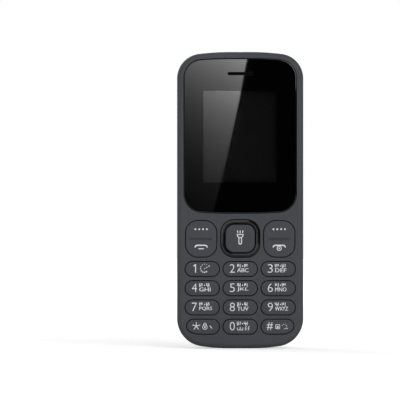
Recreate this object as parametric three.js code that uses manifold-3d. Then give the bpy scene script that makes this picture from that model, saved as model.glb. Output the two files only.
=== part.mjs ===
// A bar-shaped mobile phone with a number pad, built as the separate pieces that it comes apart into.
//
// Millimetres. The phone stands on its lower end: X runs to its right, Y from its face to its back, Z up.
// Every piece is drawn lying on its back and seen from the front: x to the right, y up from the lower end, and
// depth from the face towards the back, which is -z. The last lines stand the whole group up.

import * as THREE from "three";
import { mergeVertices } from "three/addons/utils/BufferGeometryUtils.js";
import Module from "manifold-3d";

const wasm = await Module();
wasm.setup();

// Body outline, seen from the front
const bodyWidth = 48.2;
const bodyHeight = 113.2;
const topCornerRadius = 9.4;
const lowerCornerRadius = 10.7;
const topCrownRadius = 95;
const lowerCrownRadius = 75;
const endLandWidth = 8;

// Clearances
const overrun = 1;
const seatGap = 0.1;
const slideGap = 0.15;
const seamGap = 0.2;
const keyGap = 0.3;

// Shells
const faceThickness = 1.3;
const frontShellDepth = 5.4;
const frontEdgeRadius = 1.8;
const rimBearing = 0.65;
const rearWall = 1;
const coverWall = 1.2;
const coverBackThickness = 1.1;
const coverEdgeRadius = 3.2;
const coverGap = 0.15;

// Window over the display
const windowTopMargin = 2.45;
const windowSideMargin = 2.55;
const windowThickness = 1;
const windowCornerRadius = 7;
const windowCrownRadius = 150;
const windowChamfer = 0.15;
const ledgeThickness = 0.8;
const ledgeBearing = 1;

// Display module: the picture area, and what its panel adds round it
const displayHeight = 35.04;
const displaySideBorder = 7.535;
const displayTopBorder = 12.4;
const displayLowerBorder = 11.8;
const displayOpeningMargin = 1;
const panelSideBorder = 2.98;
const panelTopBorder = 2.9;
const panelLowerBorder = 8.5;
const panelThickness = 1.3;
const panelContactLedge = 4.5;
const backlightThickness = 1.1;
const backlightLip = 1.2;
const flexWidth = 16;
const flexThickness = 0.15;
const flexLoop = 1.6;

// Earpiece
const earSlotWidth = 9.5;
const earSlotHeight = 1.05;
const earSlotBelowWindowTop = 5.85;
const earMeshMargin = 0.8;
const earMeshThickness = 0.25;
const earpieceWidth = 12;
const earpieceHeight = 5.6;
const earpieceThickness = 2;

// Keypad
const keypadSideMargin = 3.195;
const keypadLowerMargin = 5.56;
const keyColumnGap = 1.66;
const keyRowGap = 1.87;
const keyCornerRadius = 2.65;
const keyProud = 0.35;
const keyThickness = 1.9;
const keyTravel = 0.4;
const cornerKeyTrim = 0.55;
const cornerKeySweep = 5;
const navWidth = 14.7;
const navRowHeight = 14.1;
const navRowGap = 1.7;
const navCornerRadius = 5;
const navRingBand = 1.45;
const navRingProud = 0.6;
const navRingThickness = 1.8;
const navPadThickness = 0.6;
const navPadClearance = 0.4;
const softKeyHeight = 13.7;
const softKeyInset = 0.165;
const softKeyDrop = 0.14;
const softKeyCornerRadius = 4.5;
const windowToKeys = 2.5;

// Rubber mat and snap domes under the keys
const matThickness = 0.5;
const matBossHeight = 0.5;
const matMargin = 1;
const bossInset = 1.2;
const plungerRadius = 1;
const domeRadius = 2;
const domeHeight = 0.25;
const domeSheetThickness = 0.1;
const domeCrown = 0.9;

// Circuit board and what is mounted on it
const boardThickness = 1;
const boardEdgeGap = 0.15;
const holderHeight = 1.4;
const holderWall = 0.2;
const simHolderWidth = 17;
const simHolderHeight = 16;
const simSlotHeight = 15.2;
const simSlotThickness = 0.9;
const simCardTail = 9;
const memoryHolderWidth = 13;
const memoryHolderHeight = 13.6;
const memorySlotHeight = 11.2;
const memoryCardTail = 3;
const holderRow = 1.6;
const shieldWidth = 18;
const shieldHeight = 12;
const shieldThickness = 1.6;
const shieldWall = 0.2;

// Battery and its bay
const batteryWidth = 34;
const batteryLength = 53;
const batteryThickness = 5.6;
const batteryEdgeRadius = 0.8;
const batteryCapLength = 3;
const batteryGap = 0.2;
const bayFloorThickness = 0.8;
const bayRib = 1.3;
const fingerNotchRadius = 4;
const fingerNotchDepth = 3.4;
const connectorWidth = 10.4;
const connectorLength = 3.2;
const connectorHeight = 4.8;
const contactPitch = 3.1;
const contactWidth = 1.4;
const contactSlotWidth = 1.9;
const contactSlotLength = 1.8;
const contactThickness = 0.2;
const contactReach = 0.75;
const contactPadDepth = 0.4;

// Screws
const screwHeadRadius = 1.45;
const screwHeadHeight = 0.9;
const screwShankRadius = 0.75;
const screwShankLength = 5;
const screwGap = 0.25;
const bossRadius = 1.7;
const postRadius = 2.4;
const screwSeatAboveBoard = 1.8;
const bossToPanel = 0.8;

// Loudspeaker and its grille
const grilleBelowTop = 18.8;
const grillePitch = 2.45;
const grilleColumns = 7;
const grilleSlotWidth = 1.3;
const grilleHeight = 7.6;
const grilleLongSlot = 4.4;
const grilleSingleSlot = 3.9;
const grilleDot = 2;
const speakerWidth = 18;
const speakerHeight = 11;
const speakerThickness = 3.4;
const speakerCornerRadius = 4;
const speakerMeshMargin = 0.8;
const speakerMeshThickness = 0.25;

// Top end: torch, antenna, vibration motor
const torchRadius = 1.7;
const torchDepth = 3.2;
const ledWidth = 3;
const ledHeight = 1.4;
const ledThickness = 1.3;
const antennaWidth = 30;
const antennaHeight = 5.4;
const antennaThickness = 0.15;
const antennaSlot = 1;
const antennaBelowTop = 8.2;
const motorRadius = 2;
const motorLength = 7.6;
const motorSide = 1.9;
const motorShaftRadius = 0.35;
const motorShaftGap = 0.15;
const motorWeightLength = 2.8;
const motorWeightRadius = 1.8;
const motorToPocketSide = 2.2;
const motorAboveBay = 14;

// Lower end: sockets and microphone
const jackToScrew = 1.17;
const jackRadius = 2.9;
const jackBoreRadius = 1.8;
const jackLength = 12.2;
const jackBoreLength = 11.4;
const jackCollarLength = 2.2;
const jackBodyWidth = 6.2;
const usbFromSide = 11.9;
const usbWidth = 7.6;
const usbHeight = 2.7;
const usbLength = 5.4;
const usbWall = 0.3;
const usbTongueWidth = 4.4;
const usbTongueThickness = 0.7;
const portMargin = 0.6;
const micFromMiddle = 6.4;
const micWidth = 3;
const micHeight = 2;
const micThickness = 1;
const micHoleRadius = 0.5;

// Cover fittings
const notchFromMiddle = 7.9;
const notchRadius = 6;
const notchDepth = 0.5;
const notchLength = 3.4;
const tabCount = 3;
const tabLength = 5;
const tabReach = 0.8;
const tabThickness = 1.4;
const tabGap = 0.3;

// How finely round forms are drawn
const cornerSteps = 6;
const crownSteps = 2;
const keyCornerSteps = 4;
const edgeSteps = 4;
const roundSides = 12;
const smallRoundSides = 8;

const HALF_TURN = Math.PI;
const RIGHT_ANGLE = Math.PI / 2;

// Depths worked out from the stack of pieces, front to back
const ledgeFront = windowThickness + seatGap;
const ledgeBack = ledgeFront + ledgeThickness;
const panelFront = ledgeBack + seatGap;
const backlightFront = panelFront + panelThickness + seatGap;
const boardFront = backlightFront + backlightThickness + seatGap;
const boardBack = boardFront + boardThickness;
const bayFloorBack = boardBack + seatGap + holderHeight;
const bayFloorFront = bayFloorBack - bayFloorThickness;
const batteryFront = bayFloorBack + seatGap;
const batteryBack = batteryFront + batteryThickness;
const coverInside = batteryBack + coverGap;
const bodyDepth = coverInside + coverBackThickness;
const rearFront = frontShellDepth + seatGap;
const rearBack = coverInside - coverGap;
const pocketBack = rearBack - rearWall;
const coverFront = frontShellDepth + seamGap;
const keyBack = keyThickness - keyProud;
const matBossFront = keyBack + keyTravel + seatGap;
const matFront = matBossFront + matBossHeight;
const matBack = matFront + matThickness;
const domeTop = boardFront - seatGap - domeSheetThickness - domeHeight;
const navRingBack = navRingThickness - navRingProud;
const navPadFront = navRingBack + navPadClearance;
const navPadBack = navPadFront + navPadThickness;
const screwSeat = boardBack + screwSeatAboveBoard;

// Places worked out across the body
const halfWidth = bodyWidth / 2;
const rearInset = coverWall + slideGap;
const frontWall = rearInset + rimBearing;
const rearWallInset = rearInset + rearWall;
const boardInset = rearWallInset + boardEdgeGap;
const windowTop = bodyHeight - windowTopMargin;
const windowHalfWidth = halfWidth - windowSideMargin;
const displayHalfWidth = windowHalfWidth - displaySideBorder;
const displayTop = windowTop - displayTopBorder;
const displayLow = displayTop - displayHeight;
const windowLow = displayLow - displayLowerBorder;
const panelTop = displayTop + panelTopBorder;
const panelLow = displayLow - panelLowerBorder;
const panelHalfWidth = displayHalfWidth + panelSideBorder;
const navRowTop = windowLow - windowToKeys;
const navRowLow = navRowTop - navRowHeight;
const rowOneTop = navRowLow - keyRowGap;
const usbX = usbFromSide - halfWidth;
const keyOuter = halfWidth - keypadSideMargin;
const keyWidth = (2 * keyOuter - 2 * keyColumnGap) / 3;
const keyHeight = (rowOneTop - keypadLowerMargin - 3 * keyRowGap) / 4;
const softKeyOuter = keyOuter - softKeyInset;
const softKeyWidth = softKeyOuter - navWidth / 2 - navRowGap;
const keyPitch = keyWidth + keyColumnGap;
const rowPitch = keyHeight + keyRowGap;
const lowScrewY = keypadLowerMargin + keyHeight + keyRowGap / 2;
const jackX = keyPitch / 2 + screwHeadRadius + screwGap + jackToScrew + jackBodyWidth / 2;
const bayLow = bayRib + Math.max(lowScrewY + screwHeadRadius + screwGap, rearInset + jackLength + seatGap);
const batteryLow = bayLow + batteryGap;
const batteryHigh = batteryLow + batteryLength;
const bayHigh = batteryHigh + contactReach;
const bayHalfWidth = batteryWidth / 2 + batteryGap;
const connectorLow = bayHigh + seatGap;
const connectorHigh = connectorLow + connectorLength;
const topPocketLow = connectorHigh + seatGap;
const grilleY = bodyHeight - grilleBelowTop;
const earSlotY = windowTop - earSlotBelowWindowTop;
const matHigh = navRowTop + matMargin;
const screwPlaces = [
  [-keyPitch / 2, lowScrewY],
  [keyPitch / 2, lowScrewY],
  [-panelHalfWidth - bossToPanel - bossRadius, topPocketLow + bossRadius],
  [panelHalfWidth + bossToPanel + bossRadius, topPocketLow + bossRadius],
  [-halfWidth + topCornerRadius - bossRadius, panelTop + bossToPanel + bossRadius],
  [halfWidth - topCornerRadius + bossRadius, panelTop + bossToPanel + bossRadius],
];

/** Points of an arc, both ends included, from one angle to another. */
function arcPoints(x, y, radiusX, radiusY, from, to, steps) {
  return Array.from({ length: steps + 1 }, (_, i) => {
    const angle = from + ((to - from) * i) / steps;
    return new THREE.Vector2(x + radiusX * Math.cos(angle), y + radiusY * Math.sin(angle));
  });
}

/**
 * An outline with straight sides, and ends that are a short flat, a shallow crown and round corners.
 * Its form holds halfWidth, land, and for top and low each { at, crown, corner }; inset moves it inwards.
 */
function crownedOutline(form, inset) {
  const quarter = ({ crown, corner }) => {
    const across = form.halfWidth - corner - form.land;
    const rise = Math.sqrt((crown - corner) ** 2 - across ** 2);
    const turn = Math.atan2(rise, across);
    const crownRadius = crown - inset;
    const cornerRadius = corner - inset;
    const crownArc = arcPoints(form.land, -crown, crownRadius, crownRadius, RIGHT_ANGLE, turn, crownSteps);
    const centre = [form.halfWidth - corner, rise - crown];
    const cornerArc = arcPoints(...centre, cornerRadius, cornerRadius, turn, 0, cornerSteps);
    return [...crownArc, ...cornerArc.slice(1)];
  };
  const top = quarter(form.top);
  const low = quarter(form.low);
  const place = (points, side, end, at) => points.map((p) => new THREE.Vector2(side * p.x, at + end * p.y));
  return [
    ...place(low, 1, -1, form.low.at),
    ...place(top, 1, 1, form.top.at).reverse(),
    ...place(top, -1, 1, form.top.at),
    ...place(low, -1, -1, form.low.at).reverse(),
  ];
}

/** A rectangle about x, y with round corners; sweeps may widen single corners, in the order of the quadrants. */
function roundedOutline({ x = 0, y = 0, width, height, radius, sweeps = {} }, inset = 0, steps = keyCornerSteps) {
  const cornerHeight = Math.min(radius, height / 2);
  const quadrants = [[1, 1], [-1, 1], [-1, -1], [1, -1]];
  return quadrants.flatMap(([sideX, sideY], i) => {
    const cornerWidth = sweeps[i] ?? Math.min(radius, width / 2);
    const centreX = x + sideX * (width / 2 - cornerWidth);
    const centreY = y + sideY * (height / 2 - cornerHeight);
    const from = i * RIGHT_ANGLE;
    const reachX = Math.max(cornerWidth - inset, seatGap);
    const reachY = Math.max(cornerHeight - inset, seatGap);
    return arcPoints(centreX, centreY, reachX, reachY, from, from + RIGHT_ANGLE, steps);
  });
}

/** The four corners of a rectangle. */
function boxOutline(left, right, low, high) {
  return [[left, low], [right, low], [right, high], [left, high]].map(([x, y]) => new THREE.Vector2(x, y));
}

/** A geometry as a solid that can be joined and cut. */
function solidOf(geometry) {
  const bare = geometry.clone();
  bare.deleteAttribute("normal");
  bare.deleteAttribute("uv");
  const merged = mergeVertices(bare);
  const vertProperties = new Float32Array(merged.attributes.position.array);
  const triVerts = new Uint32Array(merged.index.array);
  return new wasm.Manifold(new wasm.Mesh({ numProp: 3, vertProperties, triVerts }));
}

/** A plate between two depths, with any holes through it. */
function plate(outline, front, back, holes = []) {
  const shape = new THREE.Shape(outline);
  shape.holes = holes.map((hole) => new THREE.Path(hole));
  const geometry = new THREE.ExtrudeGeometry(shape, { depth: back - front, bevelEnabled: false });
  return solidOf(geometry.translate(0, 0, -back));
}

/** A block between two depths. */
function block(left, right, low, high, front, back) {
  return plate(boxOutline(left, right, low, high), front, back);
}

/** An upright strip: an outline of y and depth, drawn out along x about a middle. */
function strip(middle, width, outline) {
  const shape = new THREE.Shape(outline.map(([y, depth]) => new THREE.Vector2(depth, y)));
  const geometry = new THREE.ExtrudeGeometry(shape, { depth: width, bevelEnabled: false });
  return solidOf(geometry.rotateY(RIGHT_ANGLE).translate(middle - width / 2, 0, 0));
}

/** A round bar along the depth. */
function post(x, y, radius, front, back, sides = roundSides) {
  const geometry = new THREE.CylinderGeometry(radius, radius, back - front, sides);
  return solidOf(geometry.rotateX(RIGHT_ANGLE).translate(x, y, -(front + back) / 2));
}

/** A round bar along y. */
function upright(x, depth, radius, low, high, sides = roundSides) {
  const geometry = new THREE.CylinderGeometry(radius, radius, high - low, sides);
  return solidOf(geometry.translate(x, (low + high) / 2, -depth));
}

/** A round bar along x. */
function crossbar(y, depth, radius, left, right, sides = roundSides) {
  const geometry = new THREE.CylinderGeometry(radius, radius, right - left, sides);
  return solidOf(geometry.rotateZ(RIGHT_ANGLE).translate((left + right) / 2, y, -depth));
}

/** A closed skin through outlines with the same number of points, each { points, depth }, front ones first. */
function loft(rings, looped = false) {
  const count = rings[0].points.length;
  const positions = rings.flatMap(({ points, depth }) => points.flatMap((p) => [p.x, p.y, -depth]));
  const triangles = [];
  const spans = looped ? rings.length : rings.length - 1;
  for (let ring = 0; ring < spans; ring++) {
    const next = (ring + 1) % rings.length;
    for (let i = 0; i < count; i++) {
      const j = (i + 1) % count;
      const [a, b] = [ring * count + i, ring * count + j];
      const [c, d] = [next * count + i, next * count + j];
      triangles.push(a, c, d, a, d, b);
    }
  }
  if (!looped) {
    const last = (rings.length - 1) * count;
    THREE.ShapeUtils.triangulateShape(rings[0].points, []).forEach(([a, b, c]) => triangles.push(a, b, c));
    const ends = THREE.ShapeUtils.triangulateShape(rings.at(-1).points, []);
    ends.forEach(([a, b, c]) => triangles.push(last + c, last + b, last + a));
  }
  const geometry = new THREE.BufferGeometry();
  geometry.setAttribute("position", new THREE.Float32BufferAttribute(positions, 3));
  return solidOf(geometry.setIndex(triangles));
}

/** Rings of a round front edge: from the face, inset by the radius, to the side. */
function frontEdge(outline, depth, radius, steps = edgeSteps) {
  return Array.from({ length: steps + 1 }, (_, i) => {
    const turn = (RIGHT_ANGLE * i) / steps;
    const inset = radius * (1 - Math.sin(turn));
    return { points: outline(inset), depth: depth + radius * (1 - Math.cos(turn)) };
  });
}

/** Rings of a round back edge: from the side to the back, inset by the radius. */
function backEdge(outline, depth, radius, steps = edgeSteps) {
  return frontEdge(outline, 0, radius, steps)
    .reverse()
    .map(({ points, depth: fromBack }) => ({ points, depth: depth - fromBack }));
}

const cut = (solid, ...tools) => tools.flat().reduce((left, tool) => left.subtract(tool), solid);
const join = (...solids) => solids.flat().reduce((whole, solid) => whole.add(solid));

const materials = {
  housing: new THREE.MeshStandardMaterial({ color: 0x47484c, roughness: 0.55 }),
  window: new THREE.MeshStandardMaterial({ color: 0x050506, roughness: 0.06 }),
  key: new THREE.MeshStandardMaterial({ color: 0x4a4b4f, roughness: 0.5 }),
  navRing: new THREE.MeshStandardMaterial({ color: 0x08090a, roughness: 0.15 }),
  rubber: new THREE.MeshStandardMaterial({ color: 0x2c2d30, roughness: 0.85 }),
  black: new THREE.MeshStandardMaterial({ color: 0x141416, roughness: 0.6 }),
  mesh: new THREE.MeshStandardMaterial({ color: 0x0c0c0d, roughness: 0.9 }),
  board: new THREE.MeshStandardMaterial({ color: 0x1d4a34, roughness: 0.5 }),
  steel: new THREE.MeshStandardMaterial({ color: 0xb4b6b8, roughness: 0.35, metalness: 1 }),
  gold: new THREE.MeshStandardMaterial({ color: 0xc9a45a, roughness: 0.3, metalness: 1 }),
  display: new THREE.MeshStandardMaterial({ color: 0x17181a, roughness: 0.2 }),
  backlight: new THREE.MeshStandardMaterial({ color: 0xd8d8d4, roughness: 0.5 }),
  flex: new THREE.MeshStandardMaterial({ color: 0xb9762a, roughness: 0.5 }),
  battery: new THREE.MeshStandardMaterial({ color: 0x2b2d31, roughness: 0.5, metalness: 0.2 }),
  lens: new THREE.MeshStandardMaterial({ color: 0xe4e8ea, roughness: 0.08 }),
  led: new THREE.MeshStandardMaterial({ color: 0xe8dfa0, roughness: 0.4 }),
};

const phone = new THREE.Group();

/** Adds a solid to the phone as a named piece, at a place given in the drawing's x, y and depth. */
function addPiece(name, solid, material, x = 0, y = 0, depth = 0) {
  const { numProp, vertProperties, triVerts } = solid.getMesh();
  const geometry = new THREE.BufferGeometry();
  const corners = new THREE.InterleavedBuffer(vertProperties, numProp);
  geometry.setAttribute("position", new THREE.InterleavedBufferAttribute(corners, 3, 0));
  geometry.setIndex(new THREE.BufferAttribute(triVerts, 1));
  const flat = geometry.toNonIndexed();
  flat.computeVertexNormals();
  const mesh = new THREE.Mesh(flat, material);
  mesh.name = name;
  mesh.position.set(x, y, -depth);
  phone.add(mesh);
}

const bodyForm = {
  halfWidth,
  land: endLandWidth / 2,
  top: { at: bodyHeight, crown: topCrownRadius, corner: topCornerRadius },
  low: { at: 0, crown: lowerCrownRadius, corner: lowerCornerRadius },
};
const windowForm = {
  halfWidth: windowHalfWidth,
  land: endLandWidth / 2,
  top: { at: windowTop, crown: windowCrownRadius, corner: windowCornerRadius },
  low: { at: windowLow, crown: windowCrownRadius, corner: windowCornerRadius },
};
const bodyOutline = (inset) => crownedOutline(bodyForm, inset);
const windowOutline = (inset) => crownedOutline(windowForm, inset);

// The twelve number keys, from the top row down; the lowest outer two follow the body's corners.
const numberKeys = ["1", "2", "3", "4", "5", "6", "7", "8", "9", "star", "0", "hash"].map((label, i) => {
  const column = (i % 3) - 1;
  const y = rowOneTop - keyHeight / 2 - Math.floor(i / 3) * rowPitch;
  const atCorner = label === "star" || label === "hash";
  const trim = atCorner ? cornerKeyTrim : 0;
  const lowerOuterQuadrant = column < 0 ? 2 : 3;
  return {
    name: "key_" + label,
    x: column * (keyPitch - trim / 2),
    y,
    width: keyWidth - trim,
    height: keyHeight,
    radius: keyCornerRadius,
    sweeps: atCorner ? { [lowerOuterQuadrant]: cornerKeySweep } : {},
  };
});
const navY = (navRowTop + navRowLow) / 2;
const softKeys = [-1, 1].map((side) => ({
  name: side < 0 ? "call_key" : "end_key",
  x: side * (softKeyOuter - softKeyWidth / 2),
  y: navY - softKeyDrop,
  width: softKeyWidth,
  height: softKeyHeight,
  radius: softKeyCornerRadius,
}));
const navRing = { x: 0, y: navY, width: navWidth, height: navRowHeight, radius: navCornerRadius };
const centreInset = navRingBand + keyGap;
const centreKey = {
  name: "centre_key",
  x: 0,
  y: navY,
  width: navWidth - 2 * centreInset,
  height: navRowHeight - 2 * centreInset,
  radius: navCornerRadius - centreInset,
};
const pressedKeys = [...numberKeys, ...softKeys, centreKey];

/** The shell that carries the window, the keys and the board. */
function buildFrontHousing() {
  const shell = cut(
    loft([...frontEdge(bodyOutline, 0, frontEdgeRadius), { points: bodyOutline(0), depth: frontShellDepth }]),
    plate(bodyOutline(frontWall), faceThickness, frontShellDepth + overrun),
  );
  const bed = plate(windowOutline(-ledgeBearing), ledgeFront, ledgeBack);
  const matRibLow = matHigh + seatGap;
  const rib = block(-keyOuter, keyOuter, matRibLow, matRibLow + ledgeThickness, ledgeFront, boardFront - seatGap);
  const bosses = screwPlaces.map(([x, y]) => post(x, y, bossRadius, ledgeFront, boardFront - seatGap));
  const opening = displayHalfWidth + displayOpeningMargin;
  const earMesh = { y: earSlotY, width: earSlotWidth, height: earSlotHeight, radius: earSlotHeight / 2 };
  const keyOpenings = [...numberKeys, ...softKeys, navRing].map((key) =>
    plate(roundedOutline(key, -keyGap), -overrun, faceThickness + overrun),
  );
  const pilotRadius = screwShankRadius + slideGap;
  const pilotFront = screwSeat - screwShankLength - seatGap;
  const solid = cut(
    join(shell, bed, rib, bosses),
    plate(windowOutline(-seatGap), -overrun, ledgeFront),
    block(
      -opening,
      opening,
      displayLow - displayOpeningMargin,
      displayTop + displayOpeningMargin,
      0,
      ledgeBack + overrun,
    ),
    plate(roundedOutline(earMesh, -earMeshMargin - seatGap), 0, ledgeFront + earMeshThickness + seatGap),
    plate(roundedOutline(earMesh), 0, ledgeBack + overrun),
    keyOpenings,
    screwPlaces.map(([x, y]) => post(x, y, pilotRadius, pilotFront, frontShellDepth, smallRoundSides)),
    upright(0, torchDepth, torchRadius + seatGap, bodyHeight - frontWall - overrun, bodyHeight + overrun),
    upright(micFromMiddle, boardFront - micThickness, micHoleRadius, -overrun, frontWall + overrun),
  );
  addPiece("front_housing", solid, materials.housing);
}

/** The printed window, with the slot that the earpiece speaks through. */
function buildWindow() {
  const slot = { y: earSlotY, width: earSlotWidth, height: earSlotHeight, radius: earSlotHeight / 2 };
  const pane = loft([
    { points: windowOutline(windowChamfer), depth: 0 },
    { points: windowOutline(0), depth: windowChamfer },
    { points: windowOutline(0), depth: windowThickness },
  ]);
  const solid = cut(pane, plate(roundedOutline(slot), -overrun, windowThickness + overrun));
  addPiece("display_window", solid, materials.window);
  const meshBack = ledgeFront + earMeshThickness;
  addPiece("earpiece_mesh", plate(roundedOutline(slot, -earMeshMargin), ledgeFront, meshBack), materials.mesh);
  const earpiece = { y: earSlotY, width: earpieceWidth, height: earpieceHeight, radius: earpieceHeight / 2 };
  const capsule = plate(roundedOutline(earpiece), panelFront, panelFront + earpieceThickness);
  addPiece("earpiece", capsule, materials.steel);
}

/** The display panel, its backlight and the flex that joins it to the board. */
function buildDisplay() {
  const glassMiddle = panelFront + panelThickness / 2;
  const panel = join(
    block(-panelHalfWidth, panelHalfWidth, panelLow + panelContactLedge, panelTop, panelFront, glassMiddle),
    block(-panelHalfWidth, panelHalfWidth, panelLow, panelTop, glassMiddle, panelFront + panelThickness),
  );
  addPiece("lcd_panel", panel, materials.display);
  const tray = { y: (panelTop + panelLow) / 2, width: 2 * panelHalfWidth, height: panelTop - panelLow, radius: seamGap };
  const backlight = cut(
    plate(roundedOutline(tray, 0, 1), backlightFront, backlightFront + backlightThickness),
    plate(roundedOutline(tray, backlightLip, 1), backlightFront - overrun, backlightFront + seamGap),
  );
  addPiece("backlight_frame", backlight, materials.backlight);
  const top = glassMiddle - seatGap;
  const foot = boardFront - seatGap;
  const bend = (top + foot) / 2;
  const start = panelLow + panelContactLedge - seatGap;
  const turn = panelLow - flexLoop;
  const inner = flexThickness;
  const loop = [
    [start, top - inner],
    [turn + inner, top - inner],
    [turn - flexLoop / 2, bend],
    [turn + inner, foot],
    [panelLow - seatGap, foot],
    [panelLow - seatGap, foot - inner],
    [turn + 2 * inner, foot - inner],
    [turn - flexLoop / 2 + inner, bend],
    [turn + 2 * inner, top],
    [start, top],
  ];
  addPiece("display_flex", strip(0, flexWidth, loop), materials.flex);
}

/** A key cap with a pillowed top, drawn about its own middle. */
function keyCap(key, proud, back) {
  const outline = (inset) => roundedOutline({ ...key, x: 0, y: 0 }, inset);
  const shoulder = proud * 0.2;
  return loft([
    { points: outline(2 * proud), depth: -proud },
    { points: outline(proud), depth: -proud + shoulder },
    { points: outline(0), depth: shoulder },
    { points: outline(0), depth: back },
  ]);
}

/** All keys, and the ring and pad of the direction key. */
function buildKeys() {
  for (const key of pressedKeys) addPiece(key.name, keyCap(key, keyProud, keyBack), materials.key, key.x, key.y);
  const outline = (inset) => roundedOutline({ ...navRing, y: 0 }, inset);
  const ridge = navRingBand / 2;
  const crest = ridge / 4;
  const shoulder = navRingProud / 4;
  const ring = loft(
    [
      { points: outline(ridge - crest), depth: -navRingProud },
      { points: outline(crest), depth: -shoulder },
      { points: outline(0), depth: shoulder },
      { points: outline(0), depth: navRingBack },
      { points: outline(navRingBand), depth: navRingBack },
      { points: outline(navRingBand), depth: shoulder },
      { points: outline(navRingBand - crest), depth: -shoulder },
      { points: outline(ridge + crest), depth: -navRingProud },
    ],
    true,
  );
  addPiece("nav_ring", ring, materials.navRing, 0, navY);
  const pad = plate(outline(keyGap), navPadFront, navPadBack, [outline(navRingBand)]);
  addPiece("nav_pad", pad, materials.rubber, 0, navY);
}

/** Where each snap dome lies: one under a number key, two under a soft key, five under the direction key. */
function domePlaces() {
  const softThrow = softKeyHeight / 4;
  const ringThrow = [navWidth, navRowHeight].map((size) => (size - navRingBand - keyGap) / 2);
  return [
    ...numberKeys.map(({ x, y }) => [x, y]),
    ...softKeys.flatMap(({ x, y }) => [[x, y - softThrow], [x, y + softThrow]]),
    [0, navY],
    [-ringThrow[0], navY],
    [ringThrow[0], navY],
    [0, navY - ringThrow[1]],
    [0, navY + ringThrow[1]],
  ];
}

/** A layer that lies under the whole keypad. */
function keypadLayer(inset, front, back) {
  const reach = halfWidth - inset;
  return plate(bodyOutline(inset), front, back).intersect(block(-reach, reach, inset, matHigh, front, back));
}

/** The rubber mat with a boss under each cap and a plunger over each dome, and the sheet of domes. */
function buildMat() {
  const bossHoles = screwPlaces.slice(0, 2).map(([x, y]) => post(x, y, bossRadius + slideGap, 0, boardBack));
  const bosses = pressedKeys.map((key) => plate(roundedOutline(key, bossInset, 2), matBossFront, matBack));
  const plungers = domePlaces().map(([x, y]) => post(x, y, plungerRadius, matFront, domeTop - seatGap, smallRoundSides));
  const mat = keypadLayer(boardInset, matFront, matBack);
  addPiece("keypad_rubber", cut(join(mat, bosses, plungers), bossHoles), materials.rubber);
  const sheetFront = boardFront - seatGap - domeSheetThickness;
  const circle = ([x, y], radius) => arcPoints(x, y, radius, radius, 0, 2 * HALF_TURN, smallRoundSides).slice(1);
  const domes = domePlaces().map((place) =>
    loft([
      { points: circle(place, domeCrown), depth: sheetFront - domeHeight },
      { points: circle(place, domeRadius), depth: boardFront - seatGap },
    ]),
  );
  const sheet = keypadLayer(boardInset + seatGap, sheetFront, boardFront - seatGap);
  addPiece("dome_sheet", cut(join(sheet, domes), bossHoles, micSpace(slideGap)), materials.steel);
}

/** The circuit board, drilled for the screws. */
function buildBoard() {
  const drill = screwShankRadius + screwGap;
  const holes = screwPlaces.map(([x, y]) =>
    post(x, y, drill, boardFront - overrun, boardBack + overrun, smallRoundSides),
  );
  addPiece("circuit_board", cut(plate(bodyOutline(boardInset), boardFront, boardBack), holes), materials.board);
}

// The card holders on the back of the board, from the top of the bay down
const holderFront = boardBack + seatGap;
const holderBack = bayFloorBack - seatGap;
const holderRight = bayHalfWidth - holderRow;
const simHolders = [0, 1].map((i) => ({
  name: "sim_holder_" + (i + 1),
  right: holderRight,
  high: bayHigh - holderRow - i * (simHolderHeight + holderRow),
  width: simHolderWidth,
  height: simHolderHeight,
  slot: simSlotHeight,
  tail: simCardTail,
}));
const memoryHolder = {
  name: "memory_card_holder",
  right: holderRight,
  high: simHolders[1].high - simHolderHeight - holderRow,
  width: memoryHolderWidth,
  height: memoryHolderHeight,
  slot: memorySlotHeight,
  tail: memoryCardTail,
};
const holders = [...simHolders, memoryHolder];

/** A folded-metal card holder with a slot open to the left and a window that shows its contacts. */
function buildHolder({ name, width, height, slot, right, high }) {
  const [halfW, halfH] = [width / 2, height / 2];
  const roof = holderBack - holderWall;
  const solid = cut(
    block(-halfW, halfW, -halfH, halfH, holderFront, holderBack),
    block(-halfW - overrun, halfW - holderWall, -slot / 2, slot / 2, roof - simSlotThickness, roof),
    block(-halfW / 2, halfW / 2, -slot / 4, slot / 4, roof - seatGap, holderBack + overrun),
    block(-halfW - overrun, -halfW / 2, -slot / 6, slot / 6, roof - seatGap, holderBack + overrun),
  );
  addPiece(name, solid, materials.steel, right - halfW, high - halfH);
}

// Motor, on the back of the board at the left of the top pocket
const motorY = bayHigh + motorAboveBay;
const motorDepth = boardBack + seatGap + motorSide;
const motorLeft = -halfWidth + rearWallInset + motorToPocketSide;
const weightLeft = motorLeft;
const weightRight = weightLeft + motorWeightLength;
const motorCanLeft = weightRight + seamGap;
const motorCanRight = motorCanLeft + motorLength;

/** The vibration motor and its off-centre weight. */
function buildMotor() {
  const can = cut(
    crossbar(motorY, motorDepth, motorRadius, motorCanLeft, motorCanRight, 16),
    block(motorCanLeft - overrun, motorCanRight + overrun, motorY - motorRadius - overrun,
      motorY + motorRadius + overrun, 0, motorDepth - motorSide),
    crossbar(motorY, motorDepth, motorShaftRadius + motorShaftGap, motorCanLeft - overrun,
      motorCanLeft + motorLength / 3),
  );
  addPiece("vibration_motor", can, materials.steel);
  const shaftEnd = motorCanLeft + motorLength / 4;
  const weight = cut(
    crossbar(motorY, motorDepth, motorWeightRadius, weightLeft, weightRight, 16),
    block(weightLeft - overrun, weightRight + overrun, motorY + 2 * motorShaftRadius,
      motorY + motorRadius + overrun, 0, motorDepth + motorRadius + overrun),
  );
  const shaft = crossbar(motorY, motorDepth, motorShaftRadius, weightLeft, shaftEnd, 8);
  addPiece("motor_weight", join(weight, shaft), materials.steel);
}

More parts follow.
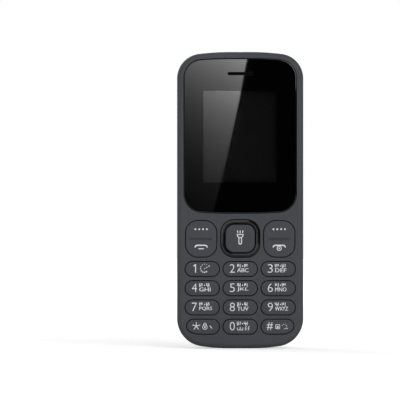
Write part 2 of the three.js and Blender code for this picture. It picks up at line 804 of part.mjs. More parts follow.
/** The metal lid over the radio parts, open towards the board. */
function buildShield() {
  const left = motorCanRight + 2 * seamGap;
  const low = topPocketLow + seamGap;
  const outer = block(left, left + shieldWidth, low, low + shieldHeight, holderFront, holderFront + shieldThickness);
  const inner = block(
    left + shieldWall,
    left + shieldWidth - shieldWall,
    low + shieldWall,
    low + shieldHeight - shieldWall,
    0,
    holderFront + shieldThickness - shieldWall,
  );
  addPiece("shield_can", cut(outer, inner), materials.steel);
}

/** The loudspeaker behind the grille, and the cloth that keeps dust out of it. */
function buildSpeaker() {
  const outline = (inset) =>
    roundedOutline({ y: grilleY, width: speakerWidth, height: speakerHeight, radius: speakerCornerRadius }, inset);
  const speakerBack = pocketBack - seatGap;
  const membraneRim = speakerCornerRadius / 4;
  const speaker = loft([
    { points: outline(membraneRim), depth: speakerBack - speakerThickness },
    { points: outline(0), depth: speakerBack - speakerThickness + membraneRim },
    { points: outline(0), depth: speakerBack },
  ]);
  addPiece("loudspeaker", speaker, materials.black);
  const cloth = plate(speakerWindow(-speakerMeshMargin), rearBack - speakerMeshThickness, rearBack);
  addPiece("speaker_mesh", cloth, materials.mesh);
}

/** The window through the rear housing that the grille lies over. */
function speakerWindow(inset) {
  const width = (grilleColumns - 1) * grillePitch + grilleSlotWidth;
  return roundedOutline({ y: grilleY, width, height: grilleHeight, radius: grilleSlotWidth }, inset, 2);
}

/** The antenna's metal foil, folded back on itself, on the rear housing's top end. */
function antennaOutline(grow) {
  const [right, high] = [antennaWidth / 2 + grow, bodyHeight - antennaBelowTop + antennaHeight / 2 + grow];
  return boxOutline(-right, right, high - antennaHeight - 2 * grow, high);
}

function buildAntenna() {
  const front = rearBack - antennaThickness;
  const high = bodyHeight - antennaBelowTop;
  const foil = plate(antennaOutline(0), front, rearBack);
  const slit = block(
    -antennaWidth / 2 + antennaSlot * 2,
    antennaWidth / 2 + overrun,
    high - antennaSlot / 2,
    high + antennaSlot / 2,
    front - overrun,
    rearBack + overrun,
  );
  addPiece("antenna", cut(foil, slit), materials.gold);
}

/** The places, in y, of the cover's snap tabs along each side of the battery. */
const tabPlaces = Array.from({ length: tabCount }, (_, i) => batteryLow + ((i + 0.5) * batteryLength) / tabCount);

/** The inner housing: bay for the battery, screw posts, speaker chamber and the mouths of both sockets. */
function buildRearHousing() {
  const outline = (inset) => bodyOutline(rearInset + inset);
  const edgeRadius = coverEdgeRadius - coverWall - slideGap;
  const outer = loft([{ points: outline(0), depth: rearFront }, ...backEdge(outline, rearBack, edgeRadius, 3)]);
  const boardSpace = plate(bodyOutline(rearWallInset), rearFront - overrun, bayFloorFront);
  const topPocket = plate(bodyOutline(rearWallInset), rearFront - overrun, pocketBack).intersect(
    block(-halfWidth, halfWidth, topPocketLow, bodyHeight, 0, bodyDepth),
  );
  const posts = screwPlaces.map(([x, y]) => post(x, y, postRadius, boardBack + seatGap, rearBack)).map((p) =>
    p.intersect(outer),
  );
  const bay = block(-bayHalfWidth, bayHalfWidth, bayLow, bayHigh, bayFloorBack, bodyDepth);
  const holderWindows = holders.map(({ right, high, width, height, tail }) =>
    block(right - width - tail, right + seatGap, high - height - seatGap, high + seatGap, 0, bodyDepth),
  );
  const connectorWindow = block(
    -connectorWidth / 2 - seatGap,
    connectorWidth / 2 + seatGap,
    bayHigh - overrun,
    topPocketLow + overrun,
    0,
    boardBack + connectorHeight + 2 * seatGap,
  );
  const meshRecess = plate(
    speakerWindow(-speakerMeshMargin - seatGap),
    rearBack - speakerMeshThickness - seatGap,
    bodyDepth,
  );
  const jackHigh = rearInset + jackLength + seatGap;
  const grooves = tabPlaces.flatMap((y) =>
    [-1, 1].map((side) => {
      const groove = side * (halfWidth - coverWall - tabReach - slideGap);
      const [left, right] = side < 0 ? [-halfWidth, groove] : [groove, halfWidth];
      return block(left, right, y - tabLength / 2 - tabGap, y + tabLength / 2 + tabGap, 0, bodyDepth);
    }),
  );
  const solid = cut(
    join(cut(outer, boardSpace, topPocket), posts),
    bay,
    holderWindows,
    connectorWindow,
    post(0, bayLow, fingerNotchRadius, rearBack - fingerNotchDepth, bodyDepth, 2 * roundSides),
    screwPlaces.map(([x, y]) => post(x, y, screwShankRadius + screwGap, 0, bodyDepth, smallRoundSides)),
    screwPlaces.map(([x, y]) => post(x, y, screwHeadRadius + screwGap, screwSeat, bodyDepth)),
    plate(speakerWindow(0), pocketBack - overrun, bodyDepth),
    meshRecess,
    plate(antennaOutline(seatGap), rearBack - antennaThickness - seatGap, bodyDepth),
    upright(jackX, jackDepth, jackRadius + seatGap, -overrun, jackHigh),
    block(
      jackX - jackBodyWidth / 2 - seatGap,
      jackX + jackBodyWidth / 2 + seatGap,
      rearInset + jackCollarLength,
      jackHigh,
      0,
      jackDepth + jackRadius + seatGap,
    ),
    block(
      usbX - usbWidth / 2 - seatGap,
      usbX + usbWidth / 2 + seatGap,
      -overrun,
      rearInset + usbLength + 2 * seatGap,
      0,
      usbBack + seatGap,
    ),
    grooves,
  );
  addPiece("rear_housing", solid, materials.black);
}

// The headset socket and the charging socket, on the back of the board at the lower end
const jackDepth = boardBack + seatGap + jackRadius;
const usbFront = boardBack + seatGap;
const usbBack = usbFront + usbHeight;
const socketLow = rearInset + seatGap;

function buildSockets() {
  const insideCover = plate(bodyOutline(rearInset + seatGap), usbFront - overrun, bodyDepth);
  const jack = cut(
    join(
      upright(jackX, jackDepth, jackRadius, socketLow, socketLow + jackLength / 2),
      block(
        jackX - jackBodyWidth / 2,
        jackX + jackBodyWidth / 2,
        rearInset + jackCollarLength + seatGap,
        rearInset + jackLength,
        boardBack + seatGap,
        jackDepth + jackRadius,
      ),
    ),
    upright(jackX, jackDepth, jackBoreRadius, 0, rearInset + jackBoreLength),
  );
  addPiece("headset_jack", jack.intersect(insideCover), materials.black);
  const [left, right] = [usbX - usbWidth / 2, usbX + usbWidth / 2];
  const slant = usbHeight / 3;
  const shellOutline = (inset) =>
    [
      [left + inset, usbFront + inset],
      [right - inset, usbFront + inset],
      [right - inset, usbBack - slant],
      [right - slant, usbBack - inset],
      [left + slant, usbBack - inset],
      [left + inset, usbBack - slant],
    ].map(([x, depth]) => new THREE.Vector2(x, depth));
  const drawUp = (points, low, high) => {
    const geometry = new THREE.ExtrudeGeometry(new THREE.Shape(points), { depth: high - low, bevelEnabled: false });
    return solidOf(geometry.rotateX(-RIGHT_ANGLE).translate(0, low, 0));
  };
  const usbHigh = rearInset + usbLength;
  const tongueFront = usbFront + usbHeight / 3;
  const shell = cut(
    drawUp(shellOutline(0), socketLow, usbHigh),
    drawUp(shellOutline(usbWall), 0, usbHigh - usbWall),
  );
  const tongue = block(
    usbX - usbTongueWidth / 2,
    usbX + usbTongueWidth / 2,
    socketLow + usbWall,
    usbHigh - usbWall / 2,
    tongueFront,
    tongueFront + usbTongueThickness,
  );
  addPiece("usb_socket", join(shell, tongue).intersect(insideCover), materials.steel);
}

/** The removable cover that wraps the back and the sides. */
function buildCover() {
  const inner = (inset) => bodyOutline(coverWall + inset);
  const wallLow = -overrun;
  const wallHigh = rearInset + jackCollarLength;
  const slots = grilleSlots().map(([x, low, high]) => {
    const slot = { x, y: (low + high) / 2, width: grilleSlotWidth, height: high - low, radius: grilleSlotWidth / 2 };
    return plate(roundedOutline(slot, 0, 2), coverInside - overrun, bodyDepth + overrun);
  });
  const shell = cut(
    loft([{ points: bodyOutline(0), depth: coverFront }, ...backEdge(bodyOutline, bodyDepth, coverEdgeRadius)]),
    loft([
      { points: inner(0), depth: coverFront - overrun },
      ...backEdge(inner, coverInside, coverEdgeRadius - coverWall, 3),
    ]),
    slots,
    post(
      notchFromMiddle,
      bodyHeight + notchRadius - notchDepth,
      notchRadius,
      coverFront - overrun,
      coverFront + notchLength,
      3 * roundSides,
    ),
    upright(jackX, jackDepth, jackRadius + portMargin / 2, wallLow, wallHigh),
    block(
      usbX - usbWidth / 2 - portMargin,
      usbX + usbWidth / 2 + portMargin,
      wallLow,
      wallHigh,
      coverFront - overrun,
      usbBack + portMargin,
    ),
  );
  const tabFront = coverFront + seatGap;
  const tabs = tabPlaces.flatMap((y) =>
    [-1, 1].map((side) => {
      const [tip, root] = [side * (halfWidth - coverWall - tabReach), side * (halfWidth - coverWall / 2)];
      const [left, right] = [Math.min(tip, root), Math.max(tip, root)];
      return block(left, right, y - tabLength / 2, y + tabLength / 2, tabFront, tabFront + tabThickness);
    }),
  );
  addPiece("back_cover", join(shell, tabs), materials.housing);
}

/** The grille's slots as [x, low, high]: columns of a dot and a slot by turns, and one short slot at each side. */
function grilleSlots() {
  const low = grilleY - grilleHeight / 2;
  const high = grilleY + grilleHeight / 2;
  return Array.from({ length: grilleColumns }, (_, i) => {
    const x = (i - (grilleColumns - 1) / 2) * grillePitch;
    const last = i === 0 || i === grilleColumns - 1;
    if (last) return [[x, grilleY - grilleSingleSlot / 2, grilleY + grilleSingleSlot / 2]];
    const dotOnTop = i % 2 === 1;
    return dotOnTop
      ? [[x, high - grilleDot, high], [x, low, low + grilleLongSlot]]
      : [[x, low, low + grilleDot], [x, high - grilleLongSlot, high]];
  }).flat();
}

/** The battery: its cell and the cap that carries the three contacts. */
function buildBattery() {
  const capLow = batteryHigh - batteryCapLength;
  const packed = (low, high) => {
    const box = { y: (low + high) / 2, width: batteryWidth, height: high - low, radius: batteryEdgeRadius + seatGap };
    const outline = (inset) => roundedOutline(box, inset, 2);
    return loft([
      ...frontEdge(outline, batteryFront, batteryEdgeRadius, 2),
      ...backEdge(outline, batteryBack, batteryEdgeRadius, 2),
    ]);
  };
  addPiece("battery_cell", packed(batteryLow, capLow - seatGap), materials.battery);
  const pads = [-1, 0, 1].map((i) =>
    block(
      i * contactPitch - contactWidth,
      i * contactPitch + contactWidth,
      batteryHigh - contactPadDepth,
      batteryHigh + overrun,
      batteryFront + batteryThickness / 4,
      batteryBack - batteryThickness / 4,
    ),
  );
  addPiece("battery_cap", cut(packed(capLow, batteryHigh), pads), materials.black);
}

/** The block of contacts at the top of the bay, with its three springs. */
function buildContacts() {
  const back = boardBack + connectorHeight;
  const front = boardBack + seatGap;
  const slotFront = front + contactSlotLength / 2;
  const slots = [-1, 0, 1].map((i) =>
    block(
      i * contactPitch - contactSlotWidth / 2,
      i * contactPitch + contactSlotWidth / 2,
      connectorLow - overrun,
      connectorLow + contactSlotLength,
      slotFront,
      back + overrun,
    ),
  );
  const housing = block(-connectorWidth / 2, connectorWidth / 2, connectorLow, connectorHigh, front, back);
  addPiece("battery_connector", cut(housing, slots), materials.black);
  const rear = connectorLow + contactSlotLength - seatGap;
  const tip = batteryHigh + seatGap;
  const middle = (slotFront + back) / 2;
  const spring = [
    [rear, slotFront + seatGap],
    [rear, back - contactThickness],
    [tip, middle + contactThickness],
    [tip, middle],
    [tip + contactThickness, middle],
    [tip + contactThickness, middle + contactThickness / 2],
    [rear - contactThickness, back - 2 * contactThickness],
    [rear - contactThickness, slotFront + seatGap],
  ];
  [-1, 0, 1].forEach((i) =>
    addPiece("contact_spring_" + (i + 2), strip(0, contactWidth, spring), materials.gold, i * contactPitch),
  );
}

/** The torch: a light on the board's front and a clear plug through the top end. */
function buildTorch() {
  const lensLow = bodyHeight - frontWall;
  const lens = upright(0, torchDepth, torchRadius, lensLow, bodyHeight - seatGap);
  addPiece("torch_lens", lens, materials.lens);
  const ledHigh = lensLow - seatGap;
  const led = block(-ledWidth / 2, ledWidth / 2, ledHigh - ledHeight, ledHigh, boardFront - seatGap - ledThickness,
    boardFront - seatGap);
  addPiece("torch_led", led, materials.led);
}

/** The room that the microphone takes above its hole in the lower end, widened by a clearance. */
function micSpace(clearance) {
  const right = micFromMiddle + micWidth / 2;
  const crownRise = lowerCrownRadius - Math.sqrt(lowerCrownRadius ** 2 - (right - endLandWidth / 2) ** 2);
  const [low, back] = [frontWall + crownRise + seatGap, boardFront - seatGap];
  return block(
    right - micWidth - clearance,
    right + clearance,
    low - clearance,
    low + micHeight + clearance,
    back - micThickness - clearance,
    back + clearance,
  );
}

function buildMicrophone() {
  addPiece("microphone", micSpace(0), materials.steel);
}

/** A housing screw, head towards the back. */
function buildScrews() {
  const chamfer = screwHeadHeight / 4;
  const profile = [
    [0, 0],
    [screwShankRadius, 0],
    [screwShankRadius, screwShankLength],
    [screwHeadRadius, screwShankLength],
    [screwHeadRadius, screwShankLength + screwHeadHeight - chamfer],
    [screwHeadRadius - chamfer, screwShankLength + screwHeadHeight],
    [0, screwShankLength + screwHeadHeight],
  ].map(([radius, along]) => new THREE.Vector2(radius, along));
  const screw = solidOf(new THREE.LatheGeometry(profile, roundSides).rotateX(-RIGHT_ANGLE));
  const tip = screwSeat + seatGap - screwShankLength;
  screwPlaces.forEach(([x, y], i) => addPiece("housing_screw_" + (i + 1), screw, materials.steel, x, y, tip));
}

buildFrontHousing();
buildWindow();
buildDisplay();
buildKeys();
buildMat();
buildBoard();
holders.forEach(buildHolder);
buildMotor();
buildShield();
buildSpeaker();
buildAntenna();
buildRearHousing();
buildSockets();
buildCover();
buildBattery();
buildContacts();
buildTorch();
buildMicrophone();
buildScrews();

// Stand the phone up, with the middle of its depth over the origin.
phone.rotation.x = RIGHT_ANGLE;
phone.position.y = -(bodyDepth - navRingProud) / 2;

export default phone;
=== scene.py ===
"""A bar-shaped mobile phone with a number pad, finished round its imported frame.

The script works in millimetres and turns them into metres where a mesh is made. X runs to the phone's
right, Y from its face to its back, and Z up from its lower end. Sizes that the frame holds are read
from it.
"""

from __future__ import annotations

import logging
import math
from dataclasses import dataclass
from enum import Enum
from typing import Any, Callable, Sequence

import bmesh
import bpy
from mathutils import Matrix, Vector, geometry

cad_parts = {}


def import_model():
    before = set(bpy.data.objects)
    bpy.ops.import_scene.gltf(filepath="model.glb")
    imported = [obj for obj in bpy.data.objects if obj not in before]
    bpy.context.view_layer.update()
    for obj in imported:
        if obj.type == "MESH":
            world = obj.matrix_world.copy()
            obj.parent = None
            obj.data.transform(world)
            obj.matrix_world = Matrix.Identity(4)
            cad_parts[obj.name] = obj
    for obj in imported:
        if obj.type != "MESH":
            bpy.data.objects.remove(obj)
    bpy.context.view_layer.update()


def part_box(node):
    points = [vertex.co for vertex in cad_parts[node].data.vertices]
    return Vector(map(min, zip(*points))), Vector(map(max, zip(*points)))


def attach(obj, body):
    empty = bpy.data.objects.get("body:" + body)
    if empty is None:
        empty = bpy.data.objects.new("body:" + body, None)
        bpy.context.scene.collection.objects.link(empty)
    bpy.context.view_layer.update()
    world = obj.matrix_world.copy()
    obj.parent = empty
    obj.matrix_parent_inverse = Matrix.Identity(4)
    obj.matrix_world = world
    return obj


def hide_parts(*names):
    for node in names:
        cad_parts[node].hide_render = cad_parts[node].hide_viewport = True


log = logging.getLogger("phone")

MM = 0.001
QUARTER = math.pi / 2
MERGE_DISTANCE = 1e-5
FLAT_MARGIN = 0.04
SMALLEST_REACH = 0.02
MITRE_LIMIT = 0.4
NOISE_SPAN = (0.3, 0.7)
WHITE = (1.0, 1.0, 1.0, 1.0)
MIX_KINDS = {"Color": "RGBA", "Float": "FLOAT"}

Point = tuple[float, float]
Triple = tuple[float, float, float]
Colour = Triple
Ring = list[bmesh.types.BMVert]
Level = tuple[list[Point], float]
Outline = Callable[[float], list[Point]]
Inputs = dict[str, Any]
Piece = bpy.types.Object
Material = bpy.types.Material
Node = bpy.types.Node
Socket = bpy.types.NodeSocket


# Outlines, as points of x and z


def arc(centre: Point, reach: Point, start: float, end: float, steps: int) -> list[Point]:
    """Points of an arc, both ends included.

    Args:
        centre: The middle of the arc.
        reach: Its radii along x and z.
        start: The angle of its first point.
        end: The angle of its last point.
        steps: How many steps it takes.

    Returns:
        The points in order.
    """
    angles = [start + (end - start) * i / steps for i in range(steps + 1)]
    return [(centre[0] + reach[0] * math.cos(a), centre[1] + reach[1] * math.sin(a)) for a in angles]


def circle(x: float, z: float, radius: float, sides: int) -> list[Point]:
    """Points of a full circle."""
    return arc((x, z), (radius, radius), 0, 2 * math.pi, sides)[:-1]


def inside(outline: Sequence[Point], x: float, z: float) -> bool:
    """Whether a place lies inside an outline."""
    crossings = 0
    for (ax, az), (bx, bz) in zip(outline, [*outline[1:], outline[0]]):
        if (az > z) != (bz > z) and x < ax + (z - az) * (bx - ax) / (bz - az):
            crossings += 1
    return crossings % 2 == 1


@dataclass(frozen=True)
class OutlineEnd:
    """One end of a crowned outline: where its flat lies, and the radii of its crown and its corners."""

    at: float
    crown: float
    corner: float


@dataclass(frozen=True)
class CrownedOutline:
    """Straight sides, and ends that are a short flat, a shallow crown and round corners."""

    half_width: float
    low: OutlineEnd
    top: OutlineEnd
    land: float = 4.0
    crown_steps: int = 10
    corner_steps: int = 18

    def quarter(self, end: OutlineEnd, inset: float) -> list[Point]:
        """The right half of one end, from its flat to its side.

        Args:
            end: The end that is drawn.
            inset: How far the outline is moved inwards.

        Returns:
            Points, with z measured outwards from the end's flat.
        """
        across = self.half_width - end.corner - self.land
        rise = math.sqrt((end.crown - end.corner) ** 2 - across**2)
        turn = math.atan2(rise, across)
        crown = end.crown - inset
        corner = end.corner - inset
        points = arc((self.land, -end.crown), (crown, crown), QUARTER, turn, self.crown_steps)
        middle = (self.half_width - end.corner, rise - end.crown)
        return points + arc(middle, (corner, corner), turn, 0, self.corner_steps)[1:]

    def ring(self, inset: float = 0.0) -> list[Point]:
        """The whole outline, moved inwards by inset."""
        low = [(x, self.low.at - z) for x, z in self.quarter(self.low, inset)]
        top = [(x, self.top.at + z) for x, z in self.quarter(self.top, inset)]
        right = low + top[::-1]
        return right + [(-x, z) for x, z in reversed(right)]


@dataclass(frozen=True)
class RoundedBox:
    """A rectangle about x and z with round corners; one lower corner may have a wider sweep."""

    x: float
    z: float
    width: float
    height: float
    radius: float
    sweep_side: int = 0
    sweep: float = 0.0

    def ring(self, inset: float = 0.0, steps: int = 9) -> list[Point]:
        """The outline, moved inwards by inset, with points that fall together kept once."""
        points: list[Point] = []
        tall = min(self.radius, self.height / 2)
        for i, (side, end) in enumerate(((1, 1), (-1, 1), (-1, -1), (1, -1))):
            swept = end < 0 and side == self.sweep_side
            wide = self.sweep if swept else min(self.radius, self.width / 2)
            centre = (self.x + side * (self.width / 2 - wide), self.z + end * (self.height / 2 - tall))
            reach = (max(wide - inset, SMALLEST_REACH), max(tall - inset, SMALLEST_REACH))
            points += arc(centre, reach, i * QUARTER, (i + 1) * QUARTER, steps)
        return [p for i, p in enumerate(points) if math.dist(p, points[i - 1]) > MERGE_DISTANCE]


@dataclass(frozen=True)
class Box:
    """The lowest and highest corners of a node, in millimetres."""

    low: Vector
    high: Vector

    @classmethod
    def of(cls, *nodes: str) -> Box:
        """The box of one or more nodes of the frame."""
        corners = [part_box(node) for node in nodes]
        low = Vector(min(c[0][i] for c in corners) / MM for i in range(3))
        high = Vector(max(c[1][i] for c in corners) / MM for i in range(3))
        return cls(low, high)

    @property
    def size(self) -> Vector:
        """Its width, depth and height."""
        return self.high - self.low

    @property
    def middle(self) -> Vector:
        """Its middle."""
        return (self.low + self.high) / 2

    def outline(self, radius: float) -> RoundedBox:
        """Its front view as a rectangle with round corners."""
        return RoundedBox(self.middle.x, self.middle.z, self.size.x, self.size.z, radius)


# Meshes


def make_object(name: str, data: bpy.types.ID) -> Piece:
    """A new object in the scene."""
    piece = bpy.data.objects.new(name, data)
    bpy.context.scene.collection.objects.link(piece)
    return piece


def settle(piece: Piece) -> None:
    """Turns what a piece's modifiers make of it into its own plain mesh."""
    graph = bpy.context.evaluated_depsgraph_get()
    old = piece.data
    piece.data = bpy.data.meshes.new_from_object(piece.evaluated_get(graph), depsgraph=graph)
    piece.modifiers.clear()
    bpy.data.meshes.remove(old)
    piece.data.name = piece.name


def shade(piece: Piece, crease: float = 32.0) -> None:
    """Shades a piece smoothly, with hard edges where it turns by more than crease degrees."""
    mesh = bmesh.new()
    mesh.from_mesh(piece.data)
    for face in mesh.faces:
        face.smooth = True
    for edge in mesh.edges:
        edge.smooth = len(edge.link_faces) == 2 and edge.calc_face_angle() < math.radians(crease)
    mesh.to_mesh(piece.data)
    mesh.free()
    even = piece.modifiers.new("even_shading", "WEIGHTED_NORMAL")
    even.keep_sharp = True


def combine(piece: Piece, tool: Piece, operation: str = "DIFFERENCE") -> None:
    """Cuts a piece with a tool, or joins the tool to it, and removes the tool."""
    modifier = piece.modifiers.new("combine", "BOOLEAN")
    modifier.operation = operation
    modifier.solver = "EXACT"
    modifier.object = tool
    settle(piece)
    data = tool.data
    bpy.data.objects.remove(tool)
    bpy.data.meshes.remove(data)


class Skin:
    """A mesh under way, in millimetres, drawn as outlines at depths along y."""

    def __init__(self) -> None:
        self.mesh = bmesh.new()

    def ring(self, points: Sequence[Point], y: float | Callable[[float, float], float]) -> Ring:
        """An outline's corners at one depth, or at a depth that follows x and z."""
        depth = y if callable(y) else lambda _x, _z: y
        return [self.mesh.verts.new((x, depth(x, z), z)) for x, z in points]

    def band(self, first: Ring, second: Ring) -> None:
        """A band of faces between two outlines with as many points."""
        for i in range(len(first)):
            self.mesh.faces.new((first[i - 1], first[i], second[i], second[i - 1]))

    def stack(self, levels: Sequence[Level], looped: bool = False) -> list[Ring]:
        """Bands through a row of outlines.

        Args:
            levels: The outlines, each with its depth.
            looped: Whether the last outline joins the first.

        Returns:
            The rings of corners.
        """
        rings = [self.ring(points, y) for points, y in levels]
        for first, second in zip(rings, rings[1:]):
            self.band(first, second)
        if looped:
            self.band(rings[-1], rings[0])
        return rings

    def fill(self, *rings: Ring, finish: int = 0) -> None:
        """Fills the region between an outline and the holes in it, seen along y."""
        corners = [v for ring in rings for v in ring]
        places = [Vector((v.co.x, v.co.z)) for v in corners]
        edges: list[tuple[int, int]] = []
        start = 0
        for ring in rings:
            edges += [(start + i, start + (i + 1) % len(ring)) for i in range(len(ring))]
            start += len(ring)
        made = geometry.delaunay_2d_cdt(places, edges, [], 1, MERGE_DISTANCE)
        outlines = [[(v.co.x, v.co.z) for v in ring] for ring in rings]
        for face in made[2]:
            x, z = sum((made[0][i] for i in face), Vector((0, 0))) / 3
            if sum(inside(outline, x, z) for outline in outlines) == 1:
                self.mesh.faces.new([corners[made[3][i][0]] for i in face]).material_index = finish

    def plug(self, ring: Ring) -> None:
        """Closes an outline with a fan about its middle."""
        middle = sum((v.co for v in ring), Vector()) / len(ring)
        hub = self.mesh.verts.new(middle)
        for a, b in zip(ring, ring[1:] + ring[:1]):
            self.mesh.faces.new((a, b, hub))

    def prism(self, points: list[Point], front: float, back: float) -> None:
        """A closed solid of one outline between two depths."""
        for ring in self.stack([(points, front), (points, back)]):
            self.fill(ring)

    def column(self, x: float, y: float, rows: Sequence[Point], sides: int) -> None:
        """A closed round solid that stands up.

        Args:
            x: Where its axis is, along x.
            y: Where its axis is, along y.
            rows: Its radius and the height of that, from one end to the other.
            sides: How many sides its round has.
        """
        rings = [[self.mesh.verts.new((*p, z)) for p in circle(x, y, radius, sides)] for radius, z in rows]
        for first, second in zip(rings, rings[1:]):
            self.band(first, second)
        self.plug(rings[0])
        self.plug(rings[-1])

    def finish(self, name: str, *finishes: Material, shaded: bool = True) -> Piece:
        """Turns the mesh into a piece, in metres.

        Args:
            name: The piece's name.
            finishes: Its materials, in the order of the faces' numbers.
            shaded: Whether it gets its smooth shading now.

        Returns:
            The piece, at the origin.
        """
        bmesh.ops.remove_doubles(self.mesh, verts=self.mesh.verts, dist=MERGE_DISTANCE)
        bmesh.ops.recalc_face_normals(self.mesh, faces=self.mesh.faces)
        bmesh.ops.scale(self.mesh, vec=(MM, MM, MM), verts=self.mesh.verts)
        data = bpy.data.meshes.new(name)
        self.mesh.to_mesh(data)
        self.mesh.free()
        for finish in finishes:
            data.materials.append(finish)
        piece = make_object(name, data)
        if shaded:
            shade(piece)
        return piece


def front_round(outline: Outline, y: float, radius: float, steps: int) -> list[Level]:
    """The levels of a round edge, from the face at y to the side; the first keeps the face flat."""
    turns = [QUARTER * i / steps for i in range(steps + 1)]
    levels = [(outline(radius * (1 - math.sin(t))), y + radius * (1 - math.cos(t))) for t in turns]
    return [(outline(radius + FLAT_MARGIN), y), *levels]


def back_round(outline: Outline, y: float, radius: float, steps: int) -> list[Level]:
    """The levels of a round edge, from the side to the back at y; the last keeps the back flat."""
    turns = [QUARTER * i / steps for i in range(steps + 1)]
    levels = [(outline(radius * (1 - math.cos(t))), y - radius * (1 - math.sin(t))) for t in turns]
    return [*levels, (outline(radius + FLAT_MARGIN), y)]


# Finishes


class NodeTree:
    """The nodes of a material, of the world or of a shape."""

    tree: bpy.types.NodeTree

    def add(self, kind: str, inputs: Inputs | None = None, **settings: Any) -> Node:
        """A new node with its settings, and with sockets or values for the inputs that are named."""
        node = self.tree.nodes.new(kind)
        for name, value in settings.items():
            setattr(node, name, value)
        for name, value in (inputs or {}).items():
            self.give(node.inputs[name], value)
        return node

    def link(self, start: Socket, end: Socket) -> None:
        """Joins two sockets."""
        self.tree.links.new(start, end)

    def give(self, socket: Socket, value: Any) -> None:
        """Feeds an input from a socket, or sets it to a value."""
        if isinstance(value, Socket):
            self.link(value, socket)
        else:
            socket.default_value = value

    def feed(self, kind: str, values: Sequence[Any], **settings: Any) -> Node:
        """A new node with its settings, and with sockets or values for its first inputs."""
        node = self.add(kind, **settings)
        for socket, value in zip(node.inputs, values):
            self.give(socket, value)
        return node

    def math(self, operation: str, *values: Socket | float) -> Socket:
        """A sum on sockets or numbers."""
        return self.feed("ShaderNodeMath", values, operation=operation).outputs["Value"]

    def measure(self, operation: str, *vectors: Socket | Triple) -> Socket:
        """A number that is worked out from vectors, such as a length."""
        return self.feed("ShaderNodeVectorMath", vectors, operation=operation).outputs["Value"]

    def vector(self, *values: Socket | float) -> Socket:
        """A vector of three sockets or numbers."""
        return self.feed("ShaderNodeCombineXYZ", values).outputs["Vector"]

    def parts(self, vector: Socket) -> dict[str, Socket]:
        """The three parts of a vector, by the names X, Y and Z."""
        return {socket.name: socket for socket in self.feed("ShaderNodeSeparateXYZ", [vector]).outputs}

    def rise(self, value: Socket, span: Point, ends: Point, course: str = "SMOOTHSTEP") -> Socket:
        """A step from one end to the other while a value crosses a span."""
        node = self.feed("ShaderNodeMapRange", (value, *span, *ends), interpolation_type=course)
        return node.outputs["Result"]

    def blend(self, kind: str, share: Socket, first: Any, second: Any) -> Socket:
        """A mix of two sockets or values by a share, of the kind Color or Float."""
        node = self.add("ShaderNodeMix", data_type=MIX_KINDS[kind])
        sockets = {socket.identifier: socket for socket in (*node.inputs, *node.outputs)}
        for name, value in (("Factor_Float", share), (f"A_{kind}", first), (f"B_{kind}", second)):
            self.give(sockets[name], value)
        return sockets[f"Result_{kind}"]


class SurfaceTree(NodeTree):
    """The nodes of a material or of the world, about one shader."""

    def __init__(self, owner: Material | bpy.types.World, shader: str) -> None:
        owner.use_nodes = True
        self.tree = owner.node_tree
        self.tree.nodes.clear()
        kind = "World" if isinstance(owner, bpy.types.World) else "Material"
        output = self.add(f"ShaderNodeOutput{kind}")
        self.surface = self.add(shader)
        self.link(self.surface.outputs[0], output.inputs["Surface"])
        self.places = self.add("ShaderNodeTexCoord").outputs

    def set(self, name: str, value: Any) -> None:
        """Gives one of the shader's inputs a socket or a value."""
        self.give(self.surface.inputs[name], value)


class ShaderTree(SurfaceTree):
    """The nodes of one material, about a principled shader."""

    def __init__(self, name: str, roughness: float, specular: float) -> None:
        self.material = bpy.data.materials.new(name)
        super().__init__(self.material, "ShaderNodeBsdfPrincipled")
        self.set("Roughness", roughness)
        self.set("Specular IOR Level", specular)
        self.place = self.places["Object"]

    def mapped(self, **inputs: Triple) -> Socket:
        """The place on the piece, shifted, turned or scaled."""
        return self.add("ShaderNodeMapping", {"Vector": self.place, **inputs}).outputs["Vector"]

    def noise(self, size: float, detail: float = 2.0, stretch: Triple = (1, 1, 1)) -> Socket:
        """Smooth noise.

        Args:
            size: How wide its blotches are, in millimetres.
            detail: How many finer layers it has.
            stretch: How much tighter it is along x, y and z.

        Returns:
            A value about a half.
        """
        inputs = {"Scale": 1 / (size * MM), "Detail": detail, "Vector": self.mapped(Scale=stretch)}
        return self.add("ShaderNodeTexNoise", inputs).outputs["Fac"]

    def between(self, value: Socket, low: float, high: float) -> Socket:
        """A noise value spread from low to high."""
        return self.rise(value, NOISE_SPAN, (low, high), "LINEAR")

    def colour(self, share: Socket, first: Colour, second: Colour) -> None:
        """Gives the surface a colour between two, by a share."""
        self.set("Base Color", self.blend("Color", share, (*first, 1), (*second, 1)))

    def bump(self, height: Socket, depth: float) -> None:
        """Raises the surface by a height of up to depth millimetres, over any bump that it has."""
        inputs = {"Strength": 1.0, "Distance": depth * MM, "Height": height}
        normal = self.surface.inputs["Normal"]
        if normal.is_linked:
            inputs["Normal"] = normal.links[0].from_socket
        self.link(self.add("ShaderNodeBump", inputs).outputs["Normal"], normal)


def scaled(colour: Colour, factor: float) -> Colour:
    """A colour made lighter or darker."""
    return (colour[0] * factor, colour[1] * factor, colour[2] * factor)


